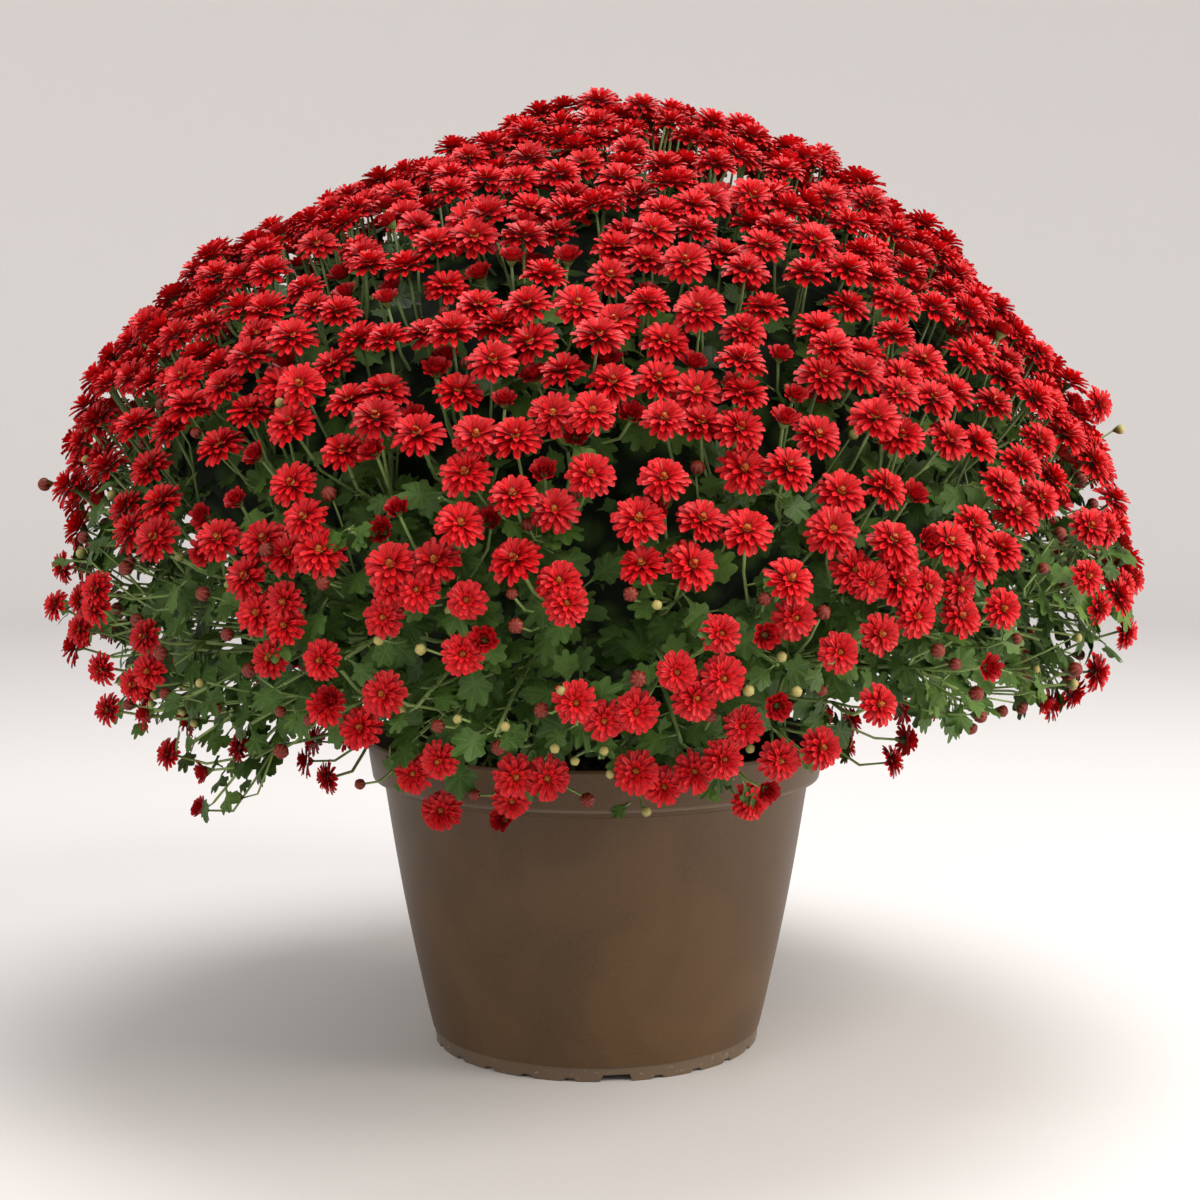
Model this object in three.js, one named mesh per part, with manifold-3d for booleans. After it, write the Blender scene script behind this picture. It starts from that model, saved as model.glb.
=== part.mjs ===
// A potted garden chrysanthemum: a brown moulded pot, potting soil, eight leafy branches
// and a dome of red flower sprays. Millimetres, +Z up, origin on the table under the pot's centre.
import * as THREE from "three";
import { ConvexHull } from "three/addons/math/ConvexHull.js";
import { mergeVertices } from "three/addons/utils/BufferGeometryUtils.js";
import Module from "manifold-3d";

const wasm = await Module();
wasm.setup();

// Driving dimensions of the pot
const POT_HEIGHT = 171;
const RIM_RADIUS = 127;
const RIM_BAND_HEIGHT = 22.5;
const RIM_BAND_STEP = 6;
const BODY_TOP_RADIUS = 118;
const BODY_BOTTOM_RADIUS = 92;
const BODY_BULGE = 1.6;
const FOOT_RADIUS = 90.5;
const FOOT_HEIGHT = 8;
const MID_HEIGHT = 80;
const WALL = 2.2;
const FLOOR_UNDERSIDE = 4;
const FLOOR_THICKNESS = 2.4;
const POT_SIDES = 32;
const NOTCH_PITCH = 15;
const NOTCH_WIDTH = 6;
const NOTCH_HEIGHT = 1.6;
const NOTCHES_PER_GATE = 6;
const GATE_WIDTH = 16;
const GATE_HEIGHT = 3.6;
const GATE_AZIMUTH = -83.5;
const DRAIN_HOLES = 8;
const DRAIN_HOLE_RADIUS = 6;
const DRAIN_CIRCLE_RADIUS = 66;
const HOLE_SIDES = 6;

// Driving dimensions of the soil and of the holes the stems stand in
const FIT_GAP = 0.35;
const SOIL_EDGE_HEIGHT = 152;
const SOIL_CROWN_HEIGHT = 158;
const SOIL_CROWN_SHARE = 0.62;
const SOIL_SIDES = 24;
const STEM_CIRCLE_RADIUS = 27;
const STEM_RADIUS = 3.6;
const STEM_FOOT_HEIGHT = 122;
const STEM_OVERLAP = 15;

// Driving dimensions of the plant
const DOME_PROFILE = [
  [0, 516],
  [45, 508],
  [82, 494],
  [118, 478],
  [155, 458],
  [186, 438],
  [217, 411],
  [245, 380],
  [264, 350],
  [277, 315],
  [284, 275],
  [281, 240],
  [268, 212],
  [240, 186],
];
const DOME_FOCUS_HEIGHT = 225;
const DOME_LEAN = 0.032;
const DOME_LEAN_HEIGHT = 375;
const DOME_LEAN_SPREAD = 60;
const CROWN_SHIFT = 12;
const CROWN_SHIFT_HEIGHTS = [470, 514];
const DOME_SAMPLES = 400;

// Driving dimensions of the flowers
const DOME_FLOWERS = 340;
const DOME_SPRAYS = 41;
const RIM_SPRAYS = 8;
const SPRAYS = DOME_SPRAYS + RIM_SPRAYS;
const FLOWERS_PER_RIM_SPRAY = 4;
const RIM_SPRAY_RADIUS = 147;
const RIM_SPRAY_HEIGHT = 173;
const RIM_SPRAY_SPACING = 34;
const RIM_FLOWER_ACROSS = 0.55;
const RIM_FLOWER_DROP = 0.8;
const RIM_FLOWER_LIFT = 14;
const RIM_FLOWER_TILT = 0.12;
const CROWN_SPACING = 30;
const LOW_SPRAY_CLOSENESS = 0.7;
const FLOWER_JITTER = 0.11;
const HEIGHT_JITTER = 3.5;
const FLOWER_RISE = 6.5;
const FLOWER_DEPTH = 6;
const PETAL_REACH = 0.095;
const PETAL_HALF_WIDTH = 0.134;
const TIP_RADIUS = 19.5;
const NOTCH_RADIUS = 13.5;
const SPRAY_CLEARANCE = 1.6;
const LINK_LIMIT = 58;
const PETAL_CROWDING = THREE.MathUtils.degToRad(34);
const FREE_PETAL_PITCH = THREE.MathUtils.degToRad(62);
const LONE_FLOWER_PETALS = 6;

// Driving dimensions of the foliage
const BRANCH_COUNT = 8;
const BRANCH_GAP = 0.5;
const CORE_SCALE_TOP = 0.76;
const CORE_SCALE_BOTTOM = 0.54;
const CORE_FLOOR = 177;
const CORE_LUMPS = 0.07;
const LEAST_REACH = 200;
const WEDGE_REACH = 400;
const WEDGE_HEIGHT = 600;
const LEAVES_PER_BRANCH = 8;
const LEAVES_PER_LOW_SPRAY = 2;
const LOW_SPRAY_HEIGHT = 310;
const GROWTH_TRIES = 14;
const LEAF_LENGTH = 50;
const LEAF_THICKNESS = 2;
const LEAF_ROOT_THICKNESS = 1.2;
const LEAF_ROOT = -0.02;
const SIDE_STEM_RADIUS = 2;
const SIDE_STEM_SIDES = 3;
const SIDE_STEM_STRAIGHT = 24;
const CARRIER_DEPTH = 14;
const STALK_RADIUS = 1.6;
const LEAF_CLEARANCE = 0.5;
const BUDS_PER_BRANCH = 3;
const BUD_RADIUS = 4.5;
const FLOWER_SEED = 7;
const FOLIAGE_SEED = 23;

const GOLDEN_ANGLE = Math.PI * (3 - Math.sqrt(5));
const UP = new THREE.Vector3(0, 0, 1);

// A small seeded generator, so that every build places the same flowers and leaves.
function seededRandom(seed) {
  let state = seed;
  return () => {
    state = (state * 1664525 + 1013904223) % 4294967296;
    return state / 4294967296;
  };
}

const radians = THREE.MathUtils.degToRad;
const lerp = THREE.MathUtils.lerp;
const smoothstep = THREE.MathUtils.smoothstep;

// Turns a closed three.js geometry into a solid for joining and cutting.
function solidOf(geometry) {
  const bare = new THREE.BufferGeometry();
  bare.setAttribute("position", geometry.getAttribute("position"));
  if (geometry.index) bare.setIndex(geometry.index);
  const merged = mergeVertices(bare, 1e-3);
  const mesh = new wasm.Mesh({
    numProp: 3,
    vertProperties: new Float32Array(merged.attributes.position.array),
    triVerts: new Uint32Array(merged.index.array),
  });
  return new wasm.Manifold(mesh);
}

function geometryOf(solid) {
  const mesh = solid.getMesh();
  const geometry = new THREE.BufferGeometry();
  geometry.setAttribute("position", new THREE.BufferAttribute(mesh.vertProperties, 3));
  geometry.setIndex(new THREE.BufferAttribute(mesh.triVerts, 1));
  geometry.computeVertexNormals();
  return geometry;
}

// Keeps the largest body of a solid and drops loose scraps.
function largestBody(solid) {
  const bodies = solid.decompose();
  return bodies.reduce((best, body) => (body.volume() > best.volume() ? body : best));
}

function lathe(profile, sides) {
  const points = profile.map(([radius, height]) => new THREE.Vector2(radius, height));
  return new THREE.LatheGeometry(points, sides).rotateX(Math.PI / 2);
}

// A prism standing on a flat outline, from one height to another.
function prism(outline, low, high) {
  const shape = new THREE.Shape(outline.map(([x, y]) => new THREE.Vector2(x, y)));
  const settings = { depth: high - low, bevelEnabled: false };
  return new THREE.ExtrudeGeometry(shape, settings).translate(0, 0, low);
}

function regularOutline(radius, sides) {
  return Array.from({ length: sides }, (_, i) => {
    const angle = (2 * Math.PI * i) / sides;
    return [radius * Math.cos(angle), radius * Math.sin(angle)];
  });
}

// A round stem along a curve, with closed ends.
function stemAlong(points, radius, sides, steps) {
  const path = new THREE.CatmullRomCurve3(points);
  const section = new THREE.Shape(
    regularOutline(radius, sides).map(([x, y]) => new THREE.Vector2(x, y)),
  );
  const settings = { steps, extrudePath: path, bevelEnabled: false };
  return solidOf(new THREE.ExtrudeGeometry(section, settings));
}

// The pot's wall

function bodyRadius(height) {
  const share = (height - FOOT_HEIGHT) / (POT_HEIGHT - RIM_BAND_HEIGHT - FOOT_HEIGHT);
  const taper = lerp(BODY_BOTTOM_RADIUS, BODY_TOP_RADIUS, share);
  return taper + BODY_BULGE * Math.sin(Math.PI * Math.min(1, share));
}

// A notch in the foot: narrower at its top, cut right through the ring.
function footNotch(azimuth, width, height) {
  const slope = height * 0.9;
  const outline = [
    [-width / 2 - slope, -1],
    [width / 2 + slope, -1],
    [width / 2, height],
    [-width / 2, height],
  ];
  const cutter = prism(outline, FOOT_RADIUS - 3 * WALL, FOOT_RADIUS + 2 * WALL);
  cutter.rotateX(Math.PI / 2).rotateZ(Math.PI);
  cutter.rotateZ(radians(azimuth) - Math.PI / 2);
  return solidOf(cutter);
}

function makePot() {
  const bandFoot = POT_HEIGHT - RIM_BAND_HEIGHT;
  const bodyHeights = [FOOT_HEIGHT, MID_HEIGHT, bandFoot];
  const innerHeights = [bandFoot - 2, MID_HEIGHT];
  const floorTop = FLOOR_UNDERSIDE + FLOOR_THICKNESS;
  const profile = [
    [0, FLOOR_UNDERSIDE],
    [FOOT_RADIUS - WALL, FLOOR_UNDERSIDE],
    [FOOT_RADIUS - WALL, 0],
    [FOOT_RADIUS, 0],
    [FOOT_RADIUS + 0.5, FOOT_HEIGHT],
    ...bodyHeights.map((height) => [bodyRadius(height), height]),
    [BODY_TOP_RADIUS + RIM_BAND_STEP, bandFoot],
    [RIM_RADIUS, POT_HEIGHT - 2],
    [RIM_RADIUS - 1, POT_HEIGHT],
    [RIM_RADIUS - WALL - 0.6, POT_HEIGHT],
    [BODY_TOP_RADIUS + RIM_BAND_STEP - WALL, bandFoot + 2.5],
    ...innerHeights.map((height) => [bodyRadius(height) - WALL, height]),
    [bodyRadius(FOOT_HEIGHT) - WALL, floorTop],
    [0, floorTop],
  ];
  let pot = solidOf(lathe(profile, POT_SIDES));
  for (let i = 0; i < 360 / NOTCH_PITCH; i += 1) {
    const azimuth = GATE_AZIMUTH + i * NOTCH_PITCH;
    const gate = i % NOTCHES_PER_GATE === 0;
    pot = pot.subtract(
      gate
        ? footNotch(azimuth, GATE_WIDTH, GATE_HEIGHT)
        : footNotch(azimuth, NOTCH_WIDTH, NOTCH_HEIGHT),
    );
  }
  for (let i = 0; i < DRAIN_HOLES; i += 1) {
    const angle = (2 * Math.PI * (i + 0.5)) / DRAIN_HOLES;
    const hole = prism(
      regularOutline(DRAIN_HOLE_RADIUS, HOLE_SIDES),
      FLOOR_UNDERSIDE - 1,
      floorTop + 1,
    );
    hole.translate(DRAIN_CIRCLE_RADIUS * Math.cos(angle), DRAIN_CIRCLE_RADIUS * Math.sin(angle), 0);
    pot = pot.subtract(solidOf(hole));
  }
  return geometryOf(pot);
}

// The soil, with one plain hole for each main stem

function stemFoot(branch) {
  const angle = ((branch + 0.5) * 2 * Math.PI) / BRANCH_COUNT;
  return new THREE.Vector3(Math.cos(angle), Math.sin(angle), 0).multiplyScalar(STEM_CIRCLE_RADIUS);
}

function makeSoil() {
  const floorTop = FLOOR_UNDERSIDE + FLOOR_THICKNESS + FIT_GAP;
  const wallGap = WALL + 2 * FIT_GAP;
  const profile = [
    [0, floorTop],
    [bodyRadius(FOOT_HEIGHT) - wallGap, floorTop],
    [bodyRadius(MID_HEIGHT) - wallGap, MID_HEIGHT],
    [BODY_TOP_RADIUS - wallGap, SOIL_EDGE_HEIGHT],
    [BODY_TOP_RADIUS * SOIL_CROWN_SHARE, SOIL_CROWN_HEIGHT - 1.5],
    [0, SOIL_CROWN_HEIGHT],
  ];
  let soil = solidOf(lathe(profile, SOIL_SIDES));
  for (let branch = 0; branch < BRANCH_COUNT; branch += 1) {
    const hole = prism(
      regularOutline(STEM_RADIUS + 2 * FIT_GAP, HOLE_SIDES),
      STEM_FOOT_HEIGHT - FIT_GAP,
      SOIL_CROWN_HEIGHT + 5,
    );
    const foot = stemFoot(branch);
    soil = soil.subtract(solidOf(hole.translate(foot.x, foot.y, 0)));
  }
  return geometryOf(soil);
}

// The dome that the flowers cover

const domeCurve = new THREE.SplineCurve(DOME_PROFILE.map(([r, z]) => new THREE.Vector2(r, z)));
const domePoints = domeCurve.getSpacedPoints(DOME_SAMPLES);

// How thickly the flowers stand at a height, as a share of the crown's.
function flowerDensity(height) {
  const upper = smoothstep(height, 230, 370);
  const lower = smoothstep(height, 150, 235);
  return 0.2 + 0.3 * lower + 0.5 * upper;
}

// Running total of surface along the profile, weighted by a density.
function runningArea(density) {
  const totals = [0];
  for (let i = 1; i < domePoints.length; i += 1) {
    const middle = domePoints[i].clone().add(domePoints[i - 1]).multiplyScalar(0.5);
    const length = domePoints[i].distanceTo(domePoints[i - 1]);
    totals.push(totals[i - 1] + middle.x * length * density(middle.y));
  }
  return totals;
}

// A point of the dome at a place along the profile and an azimuth, with the plant's slight lean.
function domePoint(place, azimuth) {
  const index = Math.min(domePoints.length - 2, Math.floor(place));
  const point = domePoints[index].clone().lerp(domePoints[index + 1], place - index);
  const lean = Math.exp(-(((point.y - DOME_LEAN_HEIGHT) / DOME_LEAN_SPREAD) ** 2));
  const radius = point.x * (1 - DOME_LEAN * lean * Math.cos(azimuth));
  const shift = CROWN_SHIFT * smoothstep(point.y, ...CROWN_SHIFT_HEIGHTS);
  return new THREE.Vector3(
    radius * Math.cos(azimuth) + shift,
    radius * Math.sin(azimuth),
    point.y,
  );
}

function domeNormal(place, azimuth) {
  const index = Math.min(domePoints.length - 2, Math.max(1, Math.floor(place)));
  const slope = domePoints[index + 1].clone().sub(domePoints[index - 1]).normalize();
  return new THREE.Vector3(
    -slope.y * Math.cos(azimuth),
    -slope.y * Math.sin(azimuth),
    slope.x,
  ).normalize();
}

// Spreads points evenly over the dome on a golden-angle spiral.
function spreadOverDome(count, density) {
  const totals = runningArea(density);
  const whole = totals[totals.length - 1];
  return Array.from({ length: count }, (_, i) => {
    const wanted = (whole * (i + 0.5)) / count;
    const after = totals.findIndex((total) => total >= wanted);
    const place = after - (totals[after] - wanted) / (totals[after] - totals[after - 1]);
    const azimuth = i * GOLDEN_ANGLE;
    return { position: domePoint(place, azimuth), normal: domeNormal(place, azimuth) };
  });
}

// The flowers, gathered into sprays

function makeFlowers() {
  const random = seededRandom(FLOWER_SEED);
  const flowers = spreadOverDome(DOME_FLOWERS, flowerDensity);
  const centres = spreadOverDome(DOME_SPRAYS, (height) => Math.sqrt(flowerDensity(height)));
  for (const flower of flowers) {
    const spacing = CROWN_SPACING / Math.sqrt(flowerDensity(flower.position.z));
    const wander = new THREE.Vector3(random() - 0.5, random() - 0.5, random() - 0.5);
    flower.position.addScaledVector(wander, 2 * FLOWER_JITTER * spacing);
    flower.position.addScaledVector(flower.normal, (random() - 0.5) * 2 * HEIGHT_JITTER);
    const distances = centres.map((centre) => centre.position.distanceTo(flower.position));
    flower.spray = distances.indexOf(Math.min(...distances));
  }
  gatherLowSprays(flowers);
  return [...flowers, ...makeRimFlowers(random)];
}

// Short sprays that hang out over the pot's rim, all the way round it.
function makeRimFlowers(random) {
  return Array.from({ length: RIM_SPRAYS * FLOWERS_PER_RIM_SPRAY }, (_, i) => {
    const spray = Math.floor(i / FLOWERS_PER_RIM_SPRAY);
    const place = i % FLOWERS_PER_RIM_SPRAY;
    const across = (place - (FLOWERS_PER_RIM_SPRAY - 1) / 2) * RIM_SPRAY_SPACING * RIM_FLOWER_ACROSS;
    const middle = ((spray + 0.5) * 2 * Math.PI) / RIM_SPRAYS + (random() - 0.5) * 0.1;
    const azimuth = middle + across / RIM_SPRAY_RADIUS;
    const drop = (place % 2) * RIM_FLOWER_DROP * RIM_SPRAY_SPACING + (random() - 0.5) * 6;
    const normal = new THREE.Vector3(Math.cos(azimuth), Math.sin(azimuth), RIM_FLOWER_TILT);
    normal.normalize();
    const position = new THREE.Vector3(Math.cos(azimuth), Math.sin(azimuth), 0);
    position.multiplyScalar(RIM_SPRAY_RADIUS + (random() - 0.5) * 5);
    position.z = RIM_SPRAY_HEIGHT + RIM_FLOWER_LIFT - drop;
    return { position, normal, spray: DOME_SPRAYS + spray };
  });
}

// Low on the plant the flowers of a spray stand close together, with open foliage between sprays.
function gatherLowSprays(flowers) {
  for (let spray = 0; spray < DOME_SPRAYS; spray += 1) {
    const members = flowers.filter((flower) => flower.spray === spray);
    const middle = new THREE.Vector3();
    members.forEach((flower) => middle.addScaledVector(flower.position, 1 / members.length));
    const closeness = lerp(LOW_SPRAY_CLOSENESS, 1, smoothstep(middle.z, 190, 330));
    members.forEach((flower) => flower.position.lerp(middle, 1 - closeness));
  }
}

// Pairs of flowers that stand next to each other, from the hull of their directions.
function neighboursOf(flowers) {
  const focus = new THREE.Vector3(0, 0, DOME_FOCUS_HEIGHT);
  const directions = flowers.map((flower) => flower.position.clone().sub(focus).normalize());
  directions.forEach((direction, i) => {
    direction.flower = i;
  });
  const neighbours = flowers.map(() => new Set());
  for (const face of new ConvexHull().setFromPoints(directions).faces) {
    const start = face.edge;
    let edge = start;
    do {
      const from = edge.tail().point.flower;
      const to = edge.head().point.flower;
      neighbours[from].add(to);
      neighbours[to].add(from);
      edge = edge.next;
    } while (edge !== start);
  }
  return neighbours;
}

// Joins every spray into one linked group: stray flowers move to the spray that they touch.
function linkSprays(flowers, neighbours) {
  const close = (a, b) => flowers[a].position.distanceTo(flowers[b].position) < LINK_LIMIT;
  for (let spray = 0; spray < SPRAYS; spray += 1) {
    const members = flowers.map((_, i) => i).filter((i) => flowers[i].spray === spray);
    const groups = [];
    const seen = new Set();
    for (const first of members) {
      if (seen.has(first)) continue;
      const group = [first];
      seen.add(first);
      for (const current of group) {
        for (const next of neighbours[current]) {
          if (seen.has(next) || flowers[next].spray !== spray || !close(current, next)) continue;
          seen.add(next);
          group.push(next);
        }
      }
      groups.push(group);
    }
    groups.sort((a, b) => b.length - a.length);
    for (const stray of groups.slice(1).flat()) {
      const host = [...neighbours[stray]].find((i) => flowers[i].spray !== spray && close(i, stray));
      flowers[stray].spray = host === undefined ? -1 : flowers[host].spray;
    }
  }
}

// The places round a flower where it meets a neighbour or holds out a free petal, by angle.
function petalSlots(flowers, neighbours, index) {
  const flower = flowers[index];
  const right = new THREE.Vector3().crossVectors(UP, flower.normal);
  if (right.lengthSq() < 1e-6) right.set(1, 0, 0);
  right.normalize();
  const forward = new THREE.Vector3().crossVectors(flower.normal, right);
  flower.axes = [right, forward];
  const slots = [...neighbours[index]]
    .filter((other) => flowers[other].spray >= 0)
    .map((other) => {
      const away = flowers[other].position.clone().sub(flower.position);
      return {
        other,
        distance: away.length(),
        angle: Math.atan2(away.dot(forward), away.dot(right)),
        linked: flowers[other].spray === flower.spray && away.length() < LINK_LIMIT,
      };
    })
    .filter((slot) => slot.distance < LINK_LIMIT)
    .sort((a, b) => a.angle - b.angle);
  return fillGaps(dropCrowded(slots));
}

// Leaves out an unlinked slot that stands too close to another to hold a petal of its own.
function dropCrowded(slots) {
  return slots.filter((slot, i) => {
    if (slot.linked) return true;
    const before = slots[(i + slots.length - 1) % slots.length];
    const after = slots[(i + 1) % slots.length];
    const turn = (a, b) => (b.angle - a.angle + 4 * Math.PI) % (2 * Math.PI);
    return turn(before, slot) > PETAL_CROWDING && turn(slot, after) > PETAL_CROWDING;
  });
}

// Adds free petals where the next neighbour is far round the flower.
function fillGaps(slots) {
  const free = { distance: 2 * TIP_RADIUS, linked: false };
  if (slots.length === 0) {
    return Array.from({ length: LONE_FLOWER_PETALS }, (_, i) => {
      const angle = (i * 2 * Math.PI) / LONE_FLOWER_PETALS - Math.PI;
      return { ...free, angle };
    });
  }
  const filled = [];
  slots.forEach((slot, i) => {
    filled.push(slot);
    const next = slots[(i + 1) % slots.length];
    const turn = (next.angle - slot.angle + 2 * Math.PI) % (2 * Math.PI) || 2 * Math.PI;
    const extra = Math.round(turn / FREE_PETAL_PITCH) - 1;
    for (let k = 1; k <= extra; k += 1) {
      filled.push({ ...free, angle: slot.angle + (turn * k) / (extra + 1) });
    }
  });
  return filled;
}

// One spray: star-shaped flowers, each raised at its centre, that share petal edges where they touch.
function sprayGeometry(flowers, neighbours, spray) {
  const positions = [];
  const faces = [];
  const shared = new Map();
  const addVertex = (point) => positions.push(point.x, point.y, point.z) / 3 - 1;
  const members = flowers.map((_, i) => i).filter((i) => flowers[i].spray === spray);
  const centres = new Map();
  for (const index of members) {
    const { position, normal } = flowers[index];
    centres.set(index, {
      top: addVertex(position.clone().addScaledVector(normal, FLOWER_RISE)),
      bottom: addVertex(position.clone().addScaledVector(normal, -FLOWER_DEPTH)),
    });
  }
  for (const index of members) {
    const slots = petalSlots(flowers, neighbours, index);
    const rim = slots.map((slot) => (slot.linked
      ? linkedVertices(flowers, index, slot, shared, addVertex)
      : freeVertices(flowers, index, slot, neighbours, addVertex)));
    const { top, bottom } = centres.get(index);
    rim.forEach((pair, i) => {
      const [notch, tip] = pair;
      const nextNotch = rim[(i + 1) % rim.length][0];
      faces.push(top, notch, tip, top, tip, nextNotch, bottom, nextNotch, tip);
      if (!slots[i].linked) {
        faces.push(bottom, tip, notch);
      } else if (index < slots[i].other) {
        const otherBottom = centres.get(slots[i].other).bottom;
        faces.push(bottom, tip, otherBottom, bottom, otherBottom, notch);
      }
    });
  }
  const geometry = new THREE.BufferGeometry();
  geometry.setAttribute("position", new THREE.Float32BufferAttribute(positions, 3));
  geometry.setIndex(faces);
  return geometry;
}

// The two ends of the petal edge that a flower shares with a neighbour of its spray.
function linkedVertices(flowers, index, slot, shared, addVertex) {
  const key = [Math.min(index, slot.other), Math.max(index, slot.other)].join();
  if (!shared.has(key)) {
    const here = flowers[index];
    const there = flowers[slot.other];
    const along = there.position.clone().sub(here.position);
    const normal = here.normal.clone().add(there.normal).normalize();
    const side = new THREE.Vector3().crossVectors(normal, along).normalize();
    const middle = here.position.clone().add(there.position).multiplyScalar(0.5);
    const width = PETAL_HALF_WIDTH * along.length();
    const near = middle.clone().addScaledVector(side, -width).addScaledVector(along, -PETAL_REACH);
    const far = middle.clone().addScaledVector(side, width).addScaledVector(along, PETAL_REACH);
    shared.set(key, { first: index, near: addVertex(near), far: addVertex(far) });
  }
  const edge = shared.get(key);
  return edge.first === index ? [edge.near, edge.far] : [edge.far, edge.near];
}

// Pulls a free petal's end back until it lies on its own side of every other neighbour.
function keepShort(offset, flowers, index, rivals) {
  for (const rival of rivals) {
    const away = flowers[rival].position.clone().sub(flowers[index].position);
    const limit = away.length() / 2 - SPRAY_CLEARANCE;
    const reach = offset.dot(away.normalize());
    if (reach > limit) offset.multiplyScalar(limit / reach);
  }
  return offset;
}

// The notch and the tip of a free petal, kept clear of a neighbouring spray.
function freeVertices(flowers, index, slot, neighbours, addVertex) {
  const flower = flowers[index];
  const [right, forward] = flower.axes;
  const along = right.clone().multiplyScalar(Math.cos(slot.angle));
  along.addScaledVector(forward, Math.sin(slot.angle));
  const side = new THREE.Vector3().crossVectors(flower.normal, along);
  const half = slot.distance / 2 - SPRAY_CLEARANCE;
  const reach = PETAL_REACH * slot.distance;
  const width = PETAL_HALF_WIDTH * Math.min(slot.distance, 2 * TIP_RADIUS);
  const rivals = [...neighbours[index]].filter((other) => other !== slot.other);
  const place = (out, across) => {
    const offset = along.clone().multiplyScalar(out).addScaledVector(side, across);
    return keepShort(offset, flowers, index, rivals).add(flower.position);
  };
  const notch = place(Math.min(half - reach, NOTCH_RADIUS), -width);
  const tip = place(Math.min(half + reach, TIP_RADIUS), width);
  return [addVertex(notch), addVertex(tip)];
}

// The branches: stem, leafy core, side stems to the sprays, leaves and buds

// Distance from the focus to the dome in a direction, read off the sampled profile.
function domeReach(direction) {
  const wanted = Math.atan2(direction.z, Math.hypot(direction.x, direction.y));
  let reach = 0;
  for (let i = 1; i < domePoints.length; i += 1) {
    const low = domePoints[i];
    const angle = Math.atan2(low.y - DOME_FOCUS_HEIGHT, low.x);
    if (angle <= wanted) {
      reach = Math.hypot(low.x, low.y - DOME_FOCUS_HEIGHT);
      break;
    }
  }
  return reach || LEAST_REACH;
}

function corePoint(direction) {
  const lumps = Math.sin(7 * direction.x + 3 * direction.z) * Math.sin(6 * direction.y - 4 * direction.z);
  const scale = lerp(CORE_SCALE_BOTTOM, CORE_SCALE_TOP, smoothstep(direction.z, -0.1, 0.6));
  const reach = domeReach(direction) * scale * (1 + CORE_LUMPS * lumps);
  const point = direction.clone().multiplyScalar(reach);
  point.z += DOME_FOCUS_HEIGHT;
  return point;
}

function makeCore() {
  const geometry = new THREE.IcosahedronGeometry(1, 2);
  const place = geometry.getAttribute("position");
  const direction = new THREE.Vector3();
  for (let i = 0; i < place.count; i += 1) {
    direction.fromBufferAttribute(place, i).normalize();
    const point = corePoint(direction);
    place.setXYZ(i, point.x, point.y, Math.max(point.z, CORE_FLOOR));
  }
  return solidOf(geometry);
}

// A lobed leaf, thickest along its midrib and at its root. It grows from the origin along +X and
// faces +Z. Each face is a fan round the middle of the blade.
function leafSolid(length, matrix) {
  const half = [
    [0.36, 0.4],
    [0.52, 0.2],
    [0.74, 0.3],
  ];
  const outline = [...half.map(([x, y]) => [x, -y]), [1.02, 0], ...half.reverse()];
  const droop = (x, y) => -0.16 * x * x - 0.12 * Math.abs(y);
  const points = outline.map(([x, y]) => [x, y, droop(x, y)]);
  const rise = LEAF_THICKNESS / 2 / length;
  const rootRise = LEAF_ROOT_THICKNESS / 2 / length;
  const [upper, lower, rootUpper, rootLower] = [0, 1, 2, 3].map((i) => points.length + i);
  points.push([0.5, 0, rise - 0.02], [0.5, 0, -rise - 0.02]);
  points.push([LEAF_ROOT, 0, rootRise], [LEAF_ROOT, 0, -rootRise]);
  const last = outline.length - 1;
  const faces = [upper, last, rootUpper, upper, rootUpper, 0, lower, rootLower, last];
  faces.push(lower, 0, rootLower, rootUpper, last, rootLower, rootUpper, rootLower, 0);
  for (let i = 0; i < last; i += 1) {
    faces.push(upper, i, i + 1, lower, i + 1, i);
  }
  const geometry = new THREE.BufferGeometry();
  geometry.setAttribute("position", new THREE.Float32BufferAttribute(points.flat(), 3));
  geometry.setIndex(faces);
  return solidOf(geometry.scale(length, length, length).applyMatrix4(matrix));
}

// Places something at a point so that its +X runs along a direction and its +Z leans to a facing.
function placement(point, along, facing) {
  const x = along.clone().normalize();
  const y = new THREE.Vector3().crossVectors(facing, x).normalize();
  const z = new THREE.Vector3().crossVectors(x, y);
  return new THREE.Matrix4().makeBasis(x, y, z).setPosition(point);
}

// The wedge of the plant that one branch keeps to.
function branchWedge(branch) {
  const half = Math.PI / BRANCH_COUNT;
  const outline = [
    [BRANCH_GAP, 0],
    [WEDGE_REACH, -WEDGE_REACH * Math.tan(half)],
    [WEDGE_REACH, WEDGE_REACH * Math.tan(half)],
  ];
  const wedge = prism(outline, 0, WEDGE_HEIGHT).rotateZ((2 * branch + 1) * half);
  return solidOf(wedge);
}

// How far a point lies inside the wedge of a branch, measured from the nearer side.
function depthInWedge(point, branch) {
  const half = Math.PI / BRANCH_COUNT;
  const middle = (2 * branch + 1) * half;
  const turned = point.clone().applyAxisAngle(UP, -middle);
  return turned.x * Math.sin(half) - Math.abs(turned.y) * Math.cos(half);
}

function branchOf(point) {
  const turn = Math.atan2(point.y, point.x) / (2 * Math.PI);
  return Math.floor(((turn + 1) % 1) * BRANCH_COUNT);
}

// True where a solid keeps clear of all the others by a gap.
function standsClear(solid, others, gap) {
  const box = solid.boundingBox();
  return others.every((other) => {
    const wall = other.boundingBox();
    const apart = [0, 1, 2].some(
      (axis) => box.min[axis] > wall.max[axis] + gap || box.max[axis] < wall.min[axis] - gap,
    );
    return apart || solid.minGap(other, 2 * gap) >= gap;
  });
}

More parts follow.
